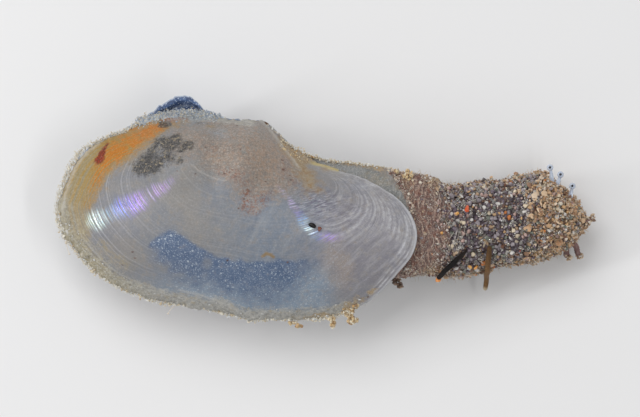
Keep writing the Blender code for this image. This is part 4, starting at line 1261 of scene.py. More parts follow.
def make_skin():
    rows, cols = 290, 138
    x = np.concatenate([np.linspace(X0, 13.6, 245), 13.6 + 0.895 * np.sin(np.linspace(0.02, 1.0, 45) * math.pi / 2)])
    turn = np.arange(cols) / cols * 2 * math.pi
    XX, TT = np.meshgrid(x, turn, indexing="ij")
    base = sleeve_full(XX, TT, -0.02)
    n = grid_normals(base)
    mid = base.mean(axis=1, keepdims=True)
    if np.sum(n * (base - mid)) < 0:
        n = -n
    flat = base.reshape(-1, 3)
    zone = smooth(6.0, 7.4, XX + 1.0 * fbm(flat * 1.3, 3, 305).reshape(XX.shape))
    # cross folds near the gape, leaning a little
    warp = fbm(flat * 0.9, 3, 301).reshape(XX.shape) * 0.5 + 0.12 * np.sin(TT * 2.0)
    warp = warp + 0.13 * fbm(flat * 2.6, 3, 303).reshape(XX.shape)
    phase = (XX + warp) / 0.29
    crease = 0.5 + 0.5 * np.sin(2 * math.pi * phase)
    broken = 0.5 + 0.5 * fbm(np.column_stack([flat[:, 0] * 1.2, TT.ravel() * 5.0]), 3, 310).reshape(XX.shape)
    fold_and_shade = crease**1.6 * (0.35 + 0.9 * broken)
    coarse = fbm(flat * 1.7, 4, 320).reshape(XX.shape)
    fine = fbm(flat * 7.0, 3, 330).reshape(XX.shape)
    relief = (1 - zone) * (0.06 * (fold_and_shade - 0.5) + 0.07 * coarse + 0.05 * fine)
    relief = relief + zone * (-0.19 + 0.06 * coarse + 0.04 * fine)
    out = base + n * relief[..., None]
    out[..., 2] = np.maximum(out[..., 2], 0.0)
    tip = out[-1].mean(axis=0)
    verts = np.concatenate([out.reshape(-1, 3), tip[None]])
    body = grid_faces(rows, cols)
    k = np.arange(cols)
    cap = np.column_stack([np.full(cols, rows * cols), (rows - 1) * cols + k, (rows - 1) * cols + (k + 1) % cols])
    # the front edge turns in
    first = out[0]
    middle = first.mean(axis=0)
    inner = middle + (first - middle) * 0.8 + np.array([0.12, 0, 0])
    start = len(verts)
    verts = np.concatenate([verts, inner, inner + np.array([0.5, 0, 0])])
    ring = np.column_stack([k, start + k, start + (k + 1) % cols, (k + 1) % cols])
    ring2 = ring_join(start, start + cols, cols)
    pad = len(verts) - rows * cols
    stray = fbm(flat * 0.8, 3, 340).reshape(XX.shape)
    edge_tan = np.maximum(
        smooth(0.35, 0.9, np.abs(np.cos(TT)) ** 3 + 0.4 * stray) * smooth(5.2, 6.0, XX),
        smooth(11.2, 12.4, XX + 1.3 * stray),
    )
    edge_tan = np.maximum(edge_tan, 0.35 * (1 - smooth(4.5, 5.1, XX)) * smooth(0.2, 0.8, np.cos(TT)))
    attrs = {
        "fold_and_shade": np.concatenate([fold_and_shade.ravel(), np.full(pad, 0.3)]),
        "coat": np.concatenate([zone.ravel(), np.full(pad, 0.0)]),
        "tan": np.concatenate([edge_tan.ravel(), np.full(pad, 0.5)]),
    }
    ob = add_mesh("sheath_skin", verts, [body, cap, ring, ring2], skin_material(), True, attrs)
    return ob


def ring_join(a, b, n):
    k = np.arange(n)
    return np.column_stack([a + k, b + k, b + (k + 1) % n, a + (k + 1) % n])


skin = make_skin()
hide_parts("sand_coat")

# ---------------------------------------------------------------------------------------- the sand
PALETTE = [
    (204, 200, 196), (150, 141, 147), (98, 85, 98), (60, 51, 60), (112, 117, 107),
    (176, 146, 116), (216, 200, 174), (206, 124, 58), (188, 62, 38), (108, 68, 48),
    (180, 150, 142), (200, 160, 112),
]  # fmt: skip
MIXES = {  # shares of the palette's colours by zone
    "sheath": [10, 8, 6, 2, 1, 10, 24, 2, 0.4, 10, 20, 6],
    "middle": [9, 24, 30, 8, 9, 7, 5, 0.7, 0.4, 7, 5, 2],
    "middle_big": [18, 32, 26, 4, 8, 7, 7, 0.8, 0.3, 3, 7, 2],
    "tip": [10, 8, 5, 3, 5, 20, 28, 1.2, 0.4, 10, 8, 12],
    "edge": [16, 14, 10, 5, 6, 16, 18, 1.2, 0.4, 9, 6, 8],
}


def grain_material(name, dull=0.45):
    m = Mat(name)
    n = len(PALETTE)
    stops = [(k / n, srgb(*c)) for k, c in enumerate(PALETTE)]
    base = m.ramp(m.attr("pick"), stops, "CONSTANT")
    mottle = m.noise(11.0, 3.0, 0.6)
    base = m.mix(m.mul(m.step(mottle, 0.45, 0.7), 0.35), base, m.mix(0.5, base, (0.85, 0.8, 0.72)))
    dark = m.mix(m.mul(m.step(m.attr("tone"), 0.6, 0.0), 0.35), base, (0.05, 0.04, 0.04))
    normal = m.bump(m.noise(30.0, 3.0, 0.6), 0.00002, 0.7)
    mat = m.set(Base_Color=dark, Roughness=m.math("MULTIPLY_ADD", mottle, 0.35, dull - 0.15), Normal=normal)
    m.shader.inputs["Subsurface Weight"].default_value = 0.15
    m.shader.inputs["Subsurface Radius"].default_value = (1.0, 0.9, 0.8)
    m.shader.inputs["Subsurface Scale"].default_value = 0.00012
    return mat


def quartz_material():
    m = Mat("quartz")
    veil = m.noise(8.0, 3.0, 0.6)
    tint = m.mix(m.attr("tone"), srgb(236, 234, 230), srgb(214, 206, 196))
    base = m.mix(m.mul(m.step(veil, 0.5, 0.7), 0.4), tint, srgb(190, 182, 172))
    mat = m.set(Base_Color=base, Roughness=m.math("MULTIPLY_ADD", veil, 0.16, 0.04))
    m.shader.inputs["Transmission Weight"].default_value = 0.78
    m.shader.inputs["IOR"].default_value = 1.54
    return mat


def picks(rng, where):
    """A palette number per grain, by the shares of its zone."""
    out = np.zeros(len(where))
    for zone, shares in MIXES.items():
        here = where == zone
        p = np.array(shares, float) / sum(shares)
        out[here] = rng.choice(len(PALETTE), size=here.sum(), p=p)
    return (out + 0.5) / len(PALETTE)


def zones(x, turn):
    """Which mixture covers a place; the limits wander."""
    stray = fbm(np.column_stack([x * 0.9, np.cos(turn) * 2.0, np.sin(turn) * 2.0]), 3, 350)
    edge = np.abs(np.cos(turn)) + 0.12 * stray > 0.93
    x = x + 1.1 * stray
    return np.where(x < 6.35, "sheath", np.where(x > 11.75, "tip", np.where(edge, "edge", "middle")))


def sand_places(u):
    x = 4.45 + u[:, 0] * (14.46 - 4.45)
    turn = u[:, 1] * 2 * math.pi
    return sleeve_full(x, turn, -0.16)


def sand_size(u, rng):
    x = 4.45 + u[:, 0] * (14.46 - 4.45)
    turn = u[:, 1] * 2 * math.pi
    px = 325 + 18 * x + 26 * fbm(np.column_stack([x * 1.4, np.cos(turn) * 3.0, np.sin(turn) * 3.0]), 3, 381)
    big = np.arange(len(x)) < 15000
    r = np.where(big, 0.134, 0.082) * np.exp(rng.normal(0, 0.24, len(x)))
    r = np.where(px < 440, r * 0.7, r)
    r = np.where(x > 11.6, r * 0.9, r)
    thin = rng.random(len(x))
    keep = thin < np.interp(px, [400, 430, 440, 450, 458], [0.05, 0.12, 0.3, 0.6, 1.01])
    return np.where(keep, np.clip(r, 0.055, 0.205), -1)


sand_p, sand_r, sand_u = spread(11, 7600, 2, sand_places, sand_size, 90000)
sx = 4.45 + sand_u[:, 0] * (14.46 - 4.45)
st = sand_u[:, 1] * 2 * math.pi
rng = np.random.default_rng(5)
sleeve_mid = np.stack([sx + SHIFT[0], sleeve_at(np.minimum(sx, X1))[0] + SHIFT[1], sleeve_at(np.minimum(sx, X1))[1]], -1)
out_dir = sand_p - sleeve_mid
out_dir /= np.linalg.norm(out_dir, axis=1, keepdims=True)
sand_p = sand_p + out_dir * rng.uniform(-0.05, 0.09, size=(len(sand_p), 1))
low = sand_p[:, 2] - sand_r < 0.0
sand_p[low, 2] = sand_r[low]
where = zones(sx, st)
large = sand_r > 0.108
pick = picks(rng, np.where((where == "middle") & large, "middle_big", where))
glassy = large & (rng.random(len(sand_p)) < np.where(where == "middle", 0.45, 0.2))
half = sand_r[:, None] * rng.uniform(0.78, 1.3, size=(len(sand_p), 3))
half = np.minimum(half, np.where(sx > 9.4, 0.15, 0.19)[:, None])
top = out_dir[:, 2] > -0.3
groups = {
    "sand_quartz": glassy & top, "sand_a": ~glassy & large & top & (sx < 9.6),
    "sand_b": ~glassy & large & top & (sx >= 9.6), "sand_fine_under": large & ~top,
    "sand_fine_a": ~large & (sx < 9.6), "sand_fine_b": ~large & (sx >= 9.6),
}
grain_mat, quartz_mat = grain_material("sand_grains"), quartz_material()
for name, mask in groups.items():
    if not mask.any():
        continue
    rocks(
        name, sand_p[mask], half[mask], 40 + len(name), quartz_mat if name == "sand_quartz" else grain_mat,
        sub=1 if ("fine" in name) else 2, attrs={"pick": pick[mask]},
    )


# ----------------------------------------------------------------------------- places on the valve
from mathutils.kdtree import KDTree

tree_pts = left_outer.reshape(-1, 3)[::2]
tree_nrm = left_n.reshape(-1, 3)[::2]
tree = KDTree(len(tree_pts))
for number, q in enumerate(tree_pts):
    tree.insert((q[0], q[1], 0.0), number)
tree.balance()


def on_valve(px, py, lift=0.0):
    """Places and normals on the left valve under points of the drawing."""
    xy = plan_points(np.column_stack([np.atleast_1d(px), np.atleast_1d(py)]))
    ids = [tree.find((a, b, 0.0))[1] for a, b in xy]
    p = tree_pts[ids].copy()
    n = tree_nrm[ids]
    p[:, :2] = xy
    return p + n * lift, n


def plan_points(pts):
    pts = np.asarray(pts, float)
    return np.column_stack([(pts[:, 0] - 325.0) / 18.0 + SHIFT[0], (211.0 - pts[:, 1]) / 18.0 + SHIFT[1]])


def along_line(points, n, rng, spread_px=1.0, bias=0.0):
    """Random plan points near a polyline."""
    pts = np.asarray(points, float)
    seg = np.hypot(*np.diff(pts, axis=0).T)
    cum = np.concatenate([[0], np.cumsum(seg)])
    s = rng.random(n) * cum[-1]
    out = np.column_stack([np.interp(s, cum, pts[:, 0]), np.interp(s, cum, pts[:, 1])])
    return out + rng.normal(0, spread_px, size=out.shape) + np.array([0, bias])


# ------------------------------------------------------------------------- mantle, strip and siphon
def flesh_material(name, colour_a, colour_b, sheen_rough=0.32, grainy=0.0):
    m = Mat(name)
    cloud = m.noise(1.1, 3.0, 0.55)
    fine = m.noise(8.0, 4.0, 0.6)
    streak = m.noise(3.0, 3.0, 0.6, vec=m.stretch((3.0, 0.7, 0.7)))
    base = m.mix(m.step(cloud, 0.35, 0.65), srgb(*colour_a), srgb(*colour_b))
    base = m.mix(m.mul(m.step(streak, 0.5, 0.72), 0.3), base, srgb(190, 190, 188))
    base = m.mix(m.mul(m.step(fine, 0.6, 0.72), 0.35), base, srgb(120, 112, 104))
    if grainy:
        grit = m.noise(15.0, 3.0, 0.7)
        patch = m.noise(2.4, 3.0, 0.6)
        base = m.mix(m.mul(m.step(patch, 0.45, 0.62), 0.5 * grainy), base, srgb(134, 122, 102))
        base = m.mix(m.mul(m.step(grit, 0.52, 0.62), 0.6 * grainy), base, srgb(176, 174, 166))
        base = m.mix(m.mul(m.step(grit, 0.44, 0.34), 0.5 * grainy), base, srgb(88, 82, 76))
        base = m.mix(m.mul(m.attr("rear"), m.mul(m.step(grit, 0.4, 0.6), 0.7)), base, srgb(116, 92, 80))
    base = m.mix(m.mul(m.attr("streak"), 0.85), base, srgb(208, 186, 112))
    base = m.mix(m.mul(m.attr("rim"), 0.6), base, srgb(214, 214, 212))
    base = m.mix(m.mul(m.attr("tan"), m.step(fine, 0.35, 0.6)), base, srgb(186, 150, 96))
    normal = m.bump(m.add(m.mul(streak, 0.5), m.mul(fine, 0.4)), 0.00003, 0.7)
    mat = m.set(Base_Color=base, Roughness=m.math("MULTIPLY_ADD", fine, 0.25, sheen_rough - 0.1), Normal=normal)
    m.shader.inputs["Subsurface Weight"].default_value = 0.2
    m.shader.inputs["Subsurface Radius"].default_value = (1.0, 0.8, 0.7)
    m.shader.inputs["Subsurface Scale"].default_value = 0.0005
    return mat


def make_mantle():
    """What fills the closed valves; it shows only in the rear gape."""
    segs, rings = 150, 24
    a = LEFT.spaced_angles(segs)
    t = np.linspace(0.05, 0.962, rings)
    A, T = np.meshgrid(a, t)
    R = LEFT.reach(A, T)
    x = D0[0] + R * np.cos(A) + SHIFT[0]
    y = D0[1] + R * np.sin(A) + SHIFT[1]
    h = np.maximum(height(A, T) - 0.30, 0.01)
    h *= np.sqrt(np.clip(1.0 - (np.maximum(T - 0.86, 0) / 0.112) ** 2, 0, 1)) * 0.5 + 0.5
    flat = np.column_stack([x.ravel(), y.ravel()])
    h = h + 0.03 * fbm(flat * 2.0, 3, 77).reshape(h.shape) * smooth(0.2, 0.5, h)
    up = np.stack([x, y, ZC + h], -1)
    low_part = np.stack([x, y, np.maximum(ZC - h, 0.02)], -1)
    n = rings * segs
    verts = np.concatenate([up.reshape(-1, 3), low_part.reshape(-1, 3), [up[0].mean(0)], [low_part[0].mean(0)]])
    k = np.arange(segs)
    side = np.column_stack([(rings - 1) * segs + k, n + (rings - 1) * segs + k,
                            n + (rings - 1) * segs + (k + 1) % segs, (rings - 1) * segs + (k + 1) % segs])
    faces = [
        grid_faces(rings, segs, flip=True),
        grid_faces(rings, segs, start=n),
        side,
        np.column_stack([np.full(segs, 2 * n), k, (k + 1) % segs]),
        np.column_stack([np.full(segs, 2 * n + 1), n + (k + 1) % segs, n + k]),
    ]
    zero = np.zeros(len(verts))
    ob = add_mesh("mantle", verts, faces, flesh_material("mantle_flesh", (150, 132, 126), (168, 156, 150)),
                  True, {"streak": zero, "rim": zero, "tan": zero, "rear": zero})
    return ob


mantle = make_mantle()
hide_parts("soft_body")

STRIP_OUT = [(286, 149), (300, 154.5), (312, 156), (330, 160), (350, 162), (370, 165), (385, 167.5),
             (393, 171), (397.5, 178), (402, 187), (407, 197), (411, 207), (413, 214)]  # fmt: skip
STRIP_IN = [(286, 160), (300, 165), (314, 170), (330, 178), (345, 184), (358, 190), (368, 196),
            (376, 203), (383, 210), (390, 217), (396, 224), (400, 230), (403, 234)]  # fmt: skip
STRIP_Z = [3.93, 3.93, 3.93, 3.93, 3.93, 3.95, 4.05, 4.5, 5.0, 5.34, 5.5, 5.58, 5.6]


def make_strip():
    o, i = np.array(STRIP_OUT, float), np.array(STRIP_IN, float)
    s = np.concatenate([[0], np.cumsum(np.hypot(*np.diff(o, axis=0).T))])
    s /= s[-1]
    u = np.linspace(0, 1, 190)
    ox, oy = hermite(s, o[:, 0], u), hermite(s, o[:, 1], u)
    ix, iy = hermite(s, i[:, 0], u), hermite(s, i[:, 1], u)
    oz = hermite(s, np.array(STRIP_Z), u)
    rag = fbm(np.column_stack([u * 90.0, 0 * u]), 3, 411, 0.7) * 1.1 * (1 - smooth(0.75, 0.85, u))
    oy = oy + rag
    ox = ox + fbm(np.column_stack([u * 60.0, 0 * u + 5]), 3, 412, 0.7) * 1.6 * smooth(0.62, 0.7, u)
    angle = np.arctan2((211 - iy) / 18 - D0[1], (ix - 325) / 18 - D0[0])
    hi = ZC + gape(angle) + 0.02
    margin_gap = np.arctan2((211 - oy) / 18 - D0[1], (ox - 325) / 18 - D0[0])
    hi = ZC + np.maximum(gape(margin_gap) - 0.16, 0.05)
    lo = np.where(oz > 4.2, oz - 0.5, 2 * ZC - hi)
    lo = np.minimum(lo, oz - 0.05)
    th = np.linspace(-math.pi / 2, math.pi / 2, 56)
    C, S = np.cos(th)[None, :], np.sin(th)[None, :]
    px = ix[:, None] + (ox - ix)[:, None] * C
    py = iy[:, None] + (oy - iy)[:, None] * C
    z = np.where(S >= 0, oz[:, None] + (hi - oz)[:, None] * S, oz[:, None] + (oz - lo)[:, None] * S)
    P = np.column_stack([px.ravel(), py.ravel()])
    z = z + (0.02 * fbm(P / 6.0, 3, 420) + 0.035 * fbm(P / 18.0, 2, 421)).reshape(z.shape) * C
    # faint cross folds in the front half
    z = z + 0.012 * np.sin(px / 1.1 + 2.0 * np.sin(px / 7)) * smooth(312, 322, px) * (1 - smooth(345, 362, px)) * C * (S > 0)
    verts = np.stack([(px - 325) / 18 + SHIFT[0], (211 - py) / 18 + SHIFT[1], z], -1)
    faces = grid_faces(190, 56, closed_cols=True, flip=True)
    flat = verts.reshape(-1, 3)
    n = len(flat)
    k = np.arange(56)
    verts = np.concatenate([flat, [verts[0].mean(0)], [verts[-1].mean(0)]])
    caps = [
        np.column_stack([np.full(56, n), k, (k + 1) % 56]),
        np.column_stack([np.full(56, n + 1), 189 * 56 + (k + 1) % 56, 189 * 56 + k]),
    ]
    X, Y = px.ravel(), py.ravel()
    d, along = polyline_distance(X, Y, [(312, 164.5), (324, 166.5), (337, 171)])
    streak = (1 - smooth(0.9, 2.6, d)) * smooth(0.0, 0.2, along)
    out_edge = np.repeat(np.cos(th)[None, :], 190, axis=0).ravel()
    U = np.repeat(u[:, None], 56, axis=1).ravel()
    rim = 0.4 * smooth(0.965, 0.998, out_edge) * smooth(0.6, 0.7, U)
    rear = smooth(0.68, 0.98, out_edge + 0.18 * fbm(P / 5.0, 3, 431)) * smooth(0.55, 0.7, U)
    tan = smooth(0.80, 0.97, out_edge) * (1 - smooth(0.55, 0.62, U)) * 0.7
    tan = np.maximum(tan, blobs(X, Y, [(300, 158, 10, 6, 20, 0.6, 1.0), (378, 168, 7, 3, 10, 0.6, 0.8)], 430, 3.0))
    pad = lambda v: np.concatenate([v, [0.0, 0.0]])
    return add_mesh("dorsal_strip", verts, [faces] + caps, flesh_material("strip_flesh", (114, 116, 115), (128, 130, 131), 0.42, 1.0),
                    True, {"streak": pad(streak), "rim": pad(rim), "tan": pad(tan), "rear": pad(rear)})


strip = make_strip()


# ------------------------------------------------------------------------------------ crumbs, crust
def crumb_material(name, stops, rough=0.6):
    m = Mat(name)
    mottle = m.noise(14.0, 3.0, 0.6)
    base = m.ramp(m.attr("tone"), stops)
    base = m.mix(m.mul(m.step(mottle, 0.4, 0.7), 0.35), base, m.mix(0.5, base, (0.9, 0.86, 0.78)))
    normal = m.bump(mottle, 0.00002, 0.8)
    mat = m.set(Base_Color=base, Roughness=m.math("MULTIPLY_ADD", mottle, 0.2, rough - 0.1), Normal=normal)
    m.shader.inputs["Subsurface Weight"].default_value = 0.15
    m.shader.inputs["Subsurface Radius"].default_value = (1.0, 0.9, 0.8)
    m.shader.inputs["Subsurface Scale"].default_value = 0.0001
    return mat


cream_mat = crumb_material("cream_crumbs", [
    (0.0, srgb(178, 156, 122)), (0.15, srgb(202, 188, 160)), (0.45, srgb(216, 210, 194)), (1.0, srgb(212, 216, 218)),
])  # fmt: skip
blue_mat = crumb_material("pale_granules", [
    (0.0, srgb(126, 140, 160)), (0.3, srgb(160, 170, 182)), (0.65, srgb(190, 196, 200)), (0.85, srgb(200, 196, 184)),
    (1.0, srgb(190, 170, 132)),
])  # fmt: skip
silt_mat = crumb_material("silt", [
    (0.0, srgb(92, 68, 54)), (0.2, srgb(146, 112, 84)), (0.5, srgb(186, 158, 126)), (0.8, srgb(212, 196, 172)),
    (1.0, srgb(204, 202, 198)),
])  # fmt: skip
ochre_mat = crumb_material("ochre_crumbs", [
    (0.0, srgb(138, 98, 58)), (0.25, srgb(184, 148, 98)), (0.6, srgb(208, 188, 148)), (1.0, srgb(222, 214, 194)),
])  # fmt: skip

rng = np.random.default_rng(77)


def crumbs(name, plan, z, half, material, seed, sub=1, cuts=5, flat=True):
    xy = plan_points(plan)
    centres = np.column_stack([xy, z])
    return rocks(name, centres, half, seed, material, sub=sub, cuts=cuts, cut=(0.55, 0.9), rough=0.14, flat=flat)


def clump(rows, n, rng):
    out = []
    for (px, py, rx, ry, share) in rows:
        k = int(n * share)
        r = np.sqrt(rng.random(k))
        a = rng.random(k) * 2 * math.pi
        out.append(np.column_stack([px + rx * r * np.cos(a), py + ry * r * np.sin(a)]))
    return np.concatenate(out)


def margin_z(plan, side=1):
    xy = plan_points(plan) - SHIFT
    a = np.arctan2(xy[:, 1] - D0[1], xy[:, 0] - D0[0])
    return ZC + side * (LIP + gape(a))


BELLY_EDGE = [(362, 303), (355, 310), (350, 312), (340, 316), (320, 320), (300, 320), (275, 320), (255, 322),
              (240, 318), (215, 312), (190, 306), (160, 305), (145, 299), (125, 292), (109, 283), (95, 274),
              (85, 264), (73, 250), (64, 238)]  # fmt: skip
FRONT_EDGE = [(64, 238), (57, 220), (56, 205), (60, 190), (67, 171), (78, 152), (92, 143), (110, 135), (130, 129), (138, 121), (146, 114)]
HINGE_EDGE = [(264, 123), (275, 131), (285, 141), (295, 148), (305, 152), (312, 155), (330, 159.5), (350, 161.5), (370, 164.5), (390, 168), (400, 171)]

n_belly = 2300
p1 = along_line(BELLY_EDGE, n_belly, rng, 1.0, -0.9)
p1[:, 1] -= np.abs(rng.normal(0, 1.6, n_belly)) * (rng.random(n_belly) < 0.5)
p1 = p1[np.hypot(p1[:, 0] - 372, p1[:, 1] - 296) > 12]
n_belly = len(p1)
z1 = margin_z(p1) + rng.normal(-0.01, 0.075, n_belly) + 0.05 * (rng.random(n_belly) < 0.3)
h1 = (0.032 * np.exp(rng.normal(0, 0.45, n_belly)))[:, None] * rng.uniform(0.6, 1.5, (n_belly, 3))
crumbs("belly_fringe", p1, z1, h1, cream_mat, 501)
n_scale = 620
p0 = along_line([(366, 297), (355, 305), (340, 310), (320, 313), (275, 313), (240, 310), (190, 299), (145, 291), (110, 276), (88, 256), (74, 236), (68, 214)], n_scale, rng, 3.4, 0.5)
q0, m0 = on_valve(p0[:, 0], p0[:, 1], 0.012)
h0 = (0.033 * np.exp(rng.normal(0, 0.35, n_scale)))[:, None] * rng.uniform(0.6, 1.5, (n_scale, 3)) * np.array([1.3, 1.0, 0.4])
scale_mat = crumb_material("margin_scales", [
    (0.0, srgb(148, 142, 128)), (0.3, srgb(164, 160, 150)), (0.7, srgb(180, 178, 172)), (1.0, srgb(204, 206, 208)),
])  # fmt: skip
q0, h0, m0 = q0[::2], h0[::2], m0[::2]
rocks("belly_scales", q0, h0, 514, scale_mat, sub=1, cuts=3, cut=(0.6, 0.9), rough=0.15, squash_to=m0)
n_front = 1300
p2 = along_line(FRONT_EDGE, n_front, rng, 0.9, 0.2)
away = p2 - np.array([190.0, 215.0])
away /= np.linalg.norm(away, axis=1, keepdims=True)
p2 = p2 + away * (rng.random((n_front, 1)) < 0.6) * np.abs(rng.normal(0, 1.1, (n_front, 1)))
z2 = margin_z(p2) + rng.normal(-0.02, 0.06, n_front)
h2 = (0.023 * np.exp(rng.normal(0, 0.42, n_front)))[:, None] * rng.uniform(0.6, 1.5, (n_front, 3))
own = np.random.default_rng(91)
n_more = 880
more = along_line(FRONT_EDGE, n_more, own, 0.5, 0.2)
away = more - np.array([190.0, 215.0])
away /= np.linalg.norm(away, axis=1, keepdims=True)
more = more - away * own.uniform(-0.2, 3.6, (n_more, 1))
p2 = np.concatenate([p2, more])
z2 = np.concatenate([z2, margin_z(more) + own.normal(-0.03, 0.035, n_more)])
h2 = np.concatenate([h2, (0.032 * np.exp(own.normal(0, 0.32, n_more)))[:, None] * own.uniform(0.7, 1.5, (n_more, 3))])
crumbs("front_fringe", p2, z2, h2, cream_mat, 502)
n_hinge = 900
p3 = along_line(HINGE_EDGE, n_hinge, rng, 0.9, 1.2)
z3 = np.full(n_hinge, ZC + 0.10) + rng.normal(0.05, 0.10, n_hinge)
h3 = (0.028 * np.exp(rng.normal(0, 0.45, n_hinge)))[:, None] * rng.uniform(0.6, 1.6, (n_hinge, 3))
crumbs("hinge_fringe", p3, z3, h3, cream_mat, 503)

# the crumbly strip at the foot of the hump
n_hump = 2500
p4 = along_line([(138, 121.5), (147, 118), (158, 115.5), (170, 113), (188, 111.5), (205, 113), (216, 116.5)], n_hump, rng, 1.5, 0.0)
p4[:, 1] += np.abs(rng.normal(0, 2.8, n_hump)) * (rng.random(n_hump) < 0.4)
tuft = rng.random(n_hump) < 0.06
p4[tuft] = clump([(211, 113.5, 1.6, 2.2, 0.34), (219, 115.5, 1.8, 2.4, 0.33), (139, 118, 2.5, 2.0, 0.34)], tuft.sum() + 3, rng)[: tuft.sum()]
on4, _ = on_valve(p4[:, 0], p4[:, 1], 0.0)
inside4 = smooth(111, 117, p4[:, 1])
z4 = (ZC + 0.06 + 0.12 * rng.random(n_hump)) * (1 - inside4) + (on4[:, 2] + 0.005) * inside4
h4 = (0.027 * np.exp(rng.normal(0, 0.4, n_hump)))[:, None] * rng.uniform(0.6, 1.5, (n_hump, 3))
hump_crust = crumbs("hump_crust", p4, z4, h4, blue_mat, 504)
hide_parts("debris_hinge")

# packed sediment under the upper valve's edge, down to the lower valve
def pack_sediment():
    cols, rows = 120, 14
    path = np.array([(140, 124.0), (150, 120.6), (163, 118.2), (176, 116.3), (190, 115.4), (204, 114.9), (216, 116.3), (226, 118.4)])
    u = np.linspace(0, 1, cols)
    t = np.linspace(0, 1, len(path))
    px, py = hermite(t, path[:, 0], u), hermite(t, path[:, 1], u)
    xy = plan_points(np.column_stack([px, py]))
    a, near = RIGHT.way_out(xy[:, 0] - SHIFT[0], xy[:, 1] - SHIFT[1] + 0.24)
    deep = np.clip(height(a, near) - 0.30, 0.06, 0.6)
    v = np.linspace(0, 1, rows)[:, None]
    z = ZC + 0.05 - v * (deep + 0.03)[None, :]
    lump = fbm(np.column_stack([(px[None, :] + 0 * z).ravel() / 3.0, z.ravel() * 5.0]), 3, 520).reshape(z.shape)
    x = xy[None, :, 0] + 0 * z
    y = xy[None, :, 1] + 0.03 + 0.06 * lump + 0.05 * np.sin(v * math.pi)
    front = np.stack([x, y, z], -1)
    back = front - np.array([0.0, 0.22, 0.0])
    n = rows * cols
    c, r = np.arange(cols - 1), np.arange(rows - 1) * cols
    faces = [
        grid_faces(rows, cols, False), grid_faces(rows, cols, False, True, n),
        np.column_stack([c + 1, c, n + c, n + c + 1]),
        np.column_stack([n - cols + c, n - cols + c + 1, 2 * n - cols + c + 1, 2 * n - cols + c]),
        np.column_stack([r, r + cols, n + r + cols, n + r]),
        np.column_stack([r + 2 * cols - 1, r + cols - 1, n + r + cols - 1, n + r + 2 * cols - 1]),
    ]
    tone = np.clip(0.5 + 0.6 * fbm(np.column_stack([front[..., 0].ravel() * 9, front[..., 2].ravel() * 9]), 3, 521), 0, 1)
    return add_mesh("hump_sediment", np.concatenate([front.reshape(-1, 3), back.reshape(-1, 3)]), faces, blue_mat, True,
                    {"tone": np.concatenate([tone, tone])})


pack_sediment()

# the crust that hangs from the belly margin
p5 = clump([(351, 303, 8, 7, 0.2), (349, 312, 5, 6, 0.2), (351, 320, 3.5, 4.5, 0.16), (356, 320, 2.4, 2, 0.06),
            (343, 310, 3, 4, 0.1), (332, 318, 3, 3, 0.1), (333, 324, 2.4, 3.4, 0.1), (292, 323, 4, 1.6, 0.04), (299, 326.5, 3.5, 1.3, 0.04)], 1200, rng)  # fmt: skip
z5 = margin_z(p5) + rng.normal(-0.02, 0.11, len(p5))
h5 = (0.046 * np.exp(rng.normal(0, 0.42, len(p5))))[:, None] * rng.uniform(0.6, 1.5, (len(p5), 3))
belly_crust = crumbs("belly_crust", p5, z5, h5, ochre_mat, 505)
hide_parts("debris_ventral")

# ochre crumbs on the slope behind the umbo and at the strip's rear end
p6 = clump([(297, 152, 9, 6, 0.3), (306, 158, 8, 5, 0.2), (284, 145, 5, 5, 0.15), (408, 175, 5, 5, 0.25), (392, 172, 6, 3, 0.1)], 260, rng)
near_top = p6[:, 0] > 380
q6, _ = on_valve(p6[:, 0], p6[:, 1], 0.01)
z6 = q6[:, 2]
z6[near_top] = 4.3 + 0.5 * smooth(168, 180, p6[near_top, 1]) + 0.1 * rng.random(near_top.sum())
z6[~near_top] = np.where(from_plan(q6[~near_top, 0], q6[~near_top, 1])[0] > 0, z6[~near_top], 0)
h6 = (0.03 * np.exp(rng.normal(0, 0.4, len(p6))))[:, None] * rng.uniform(0.6, 1.5, (len(p6), 3))
h6[near_top] *= 1.7
crumbs("ochre_crumbs", p6, z6, h6, ochre_mat, 506)

# silt between the sand grains and along the sheath's outline
def silt_places(u):
    return sleeve_full(4.35 + u[:, 0] * (14.5 - 4.35), u[:, 1] * 2 * math.pi, -0.03)


n_silt = 3200
u = rng.random((n_silt * 3, 2))
x = 4.35 + u[:, 0] * (14.5 - 4.35)
turn = u[:, 1] * 2 * math.pi
weight = 0.25 + 0.75 * np.abs(np.cos(turn)) ** 6 + 0.9 * smooth(11.2, 12.2, x) + 0.25 * (1 - smooth(6.0, 7.0, x))
keep = rng.random(len(u)) < weight / 1.5
u, x, turn = u[keep][:n_silt], x[keep][:n_silt], turn[keep][:n_silt]
sp = sleeve_full(x, turn, -0.10) + rng.normal(0, 0.05, (len(u), 3))
sh = (0.036 * np.exp(rng.normal(0, 0.42, len(u))))[:, None] * rng.uniform(0.5, 1.6, (len(u), 3))
sp[:, 2] = np.maximum(sp[:, 2], sh.max(axis=1))
rocks("silt", sp, sh, 507, silt_mat, sub=1, cuts=4, cut=(0.55, 0.9), rough=0.15)


# soft flakes that wrap the tip and fray the outline
def out_from_middle(p, x):
    mid = np.stack([x + SHIFT[0], sleeve_at(np.minimum(x, X1))[0] + SHIFT[1], sleeve_at(np.minimum(x, X1))[1]], -1)
    d = p - mid
    d[:, 0] += 1.2 * smooth(13.2, 14.5, x)
    return d / np.linalg.norm(d, axis=1, keepdims=True)


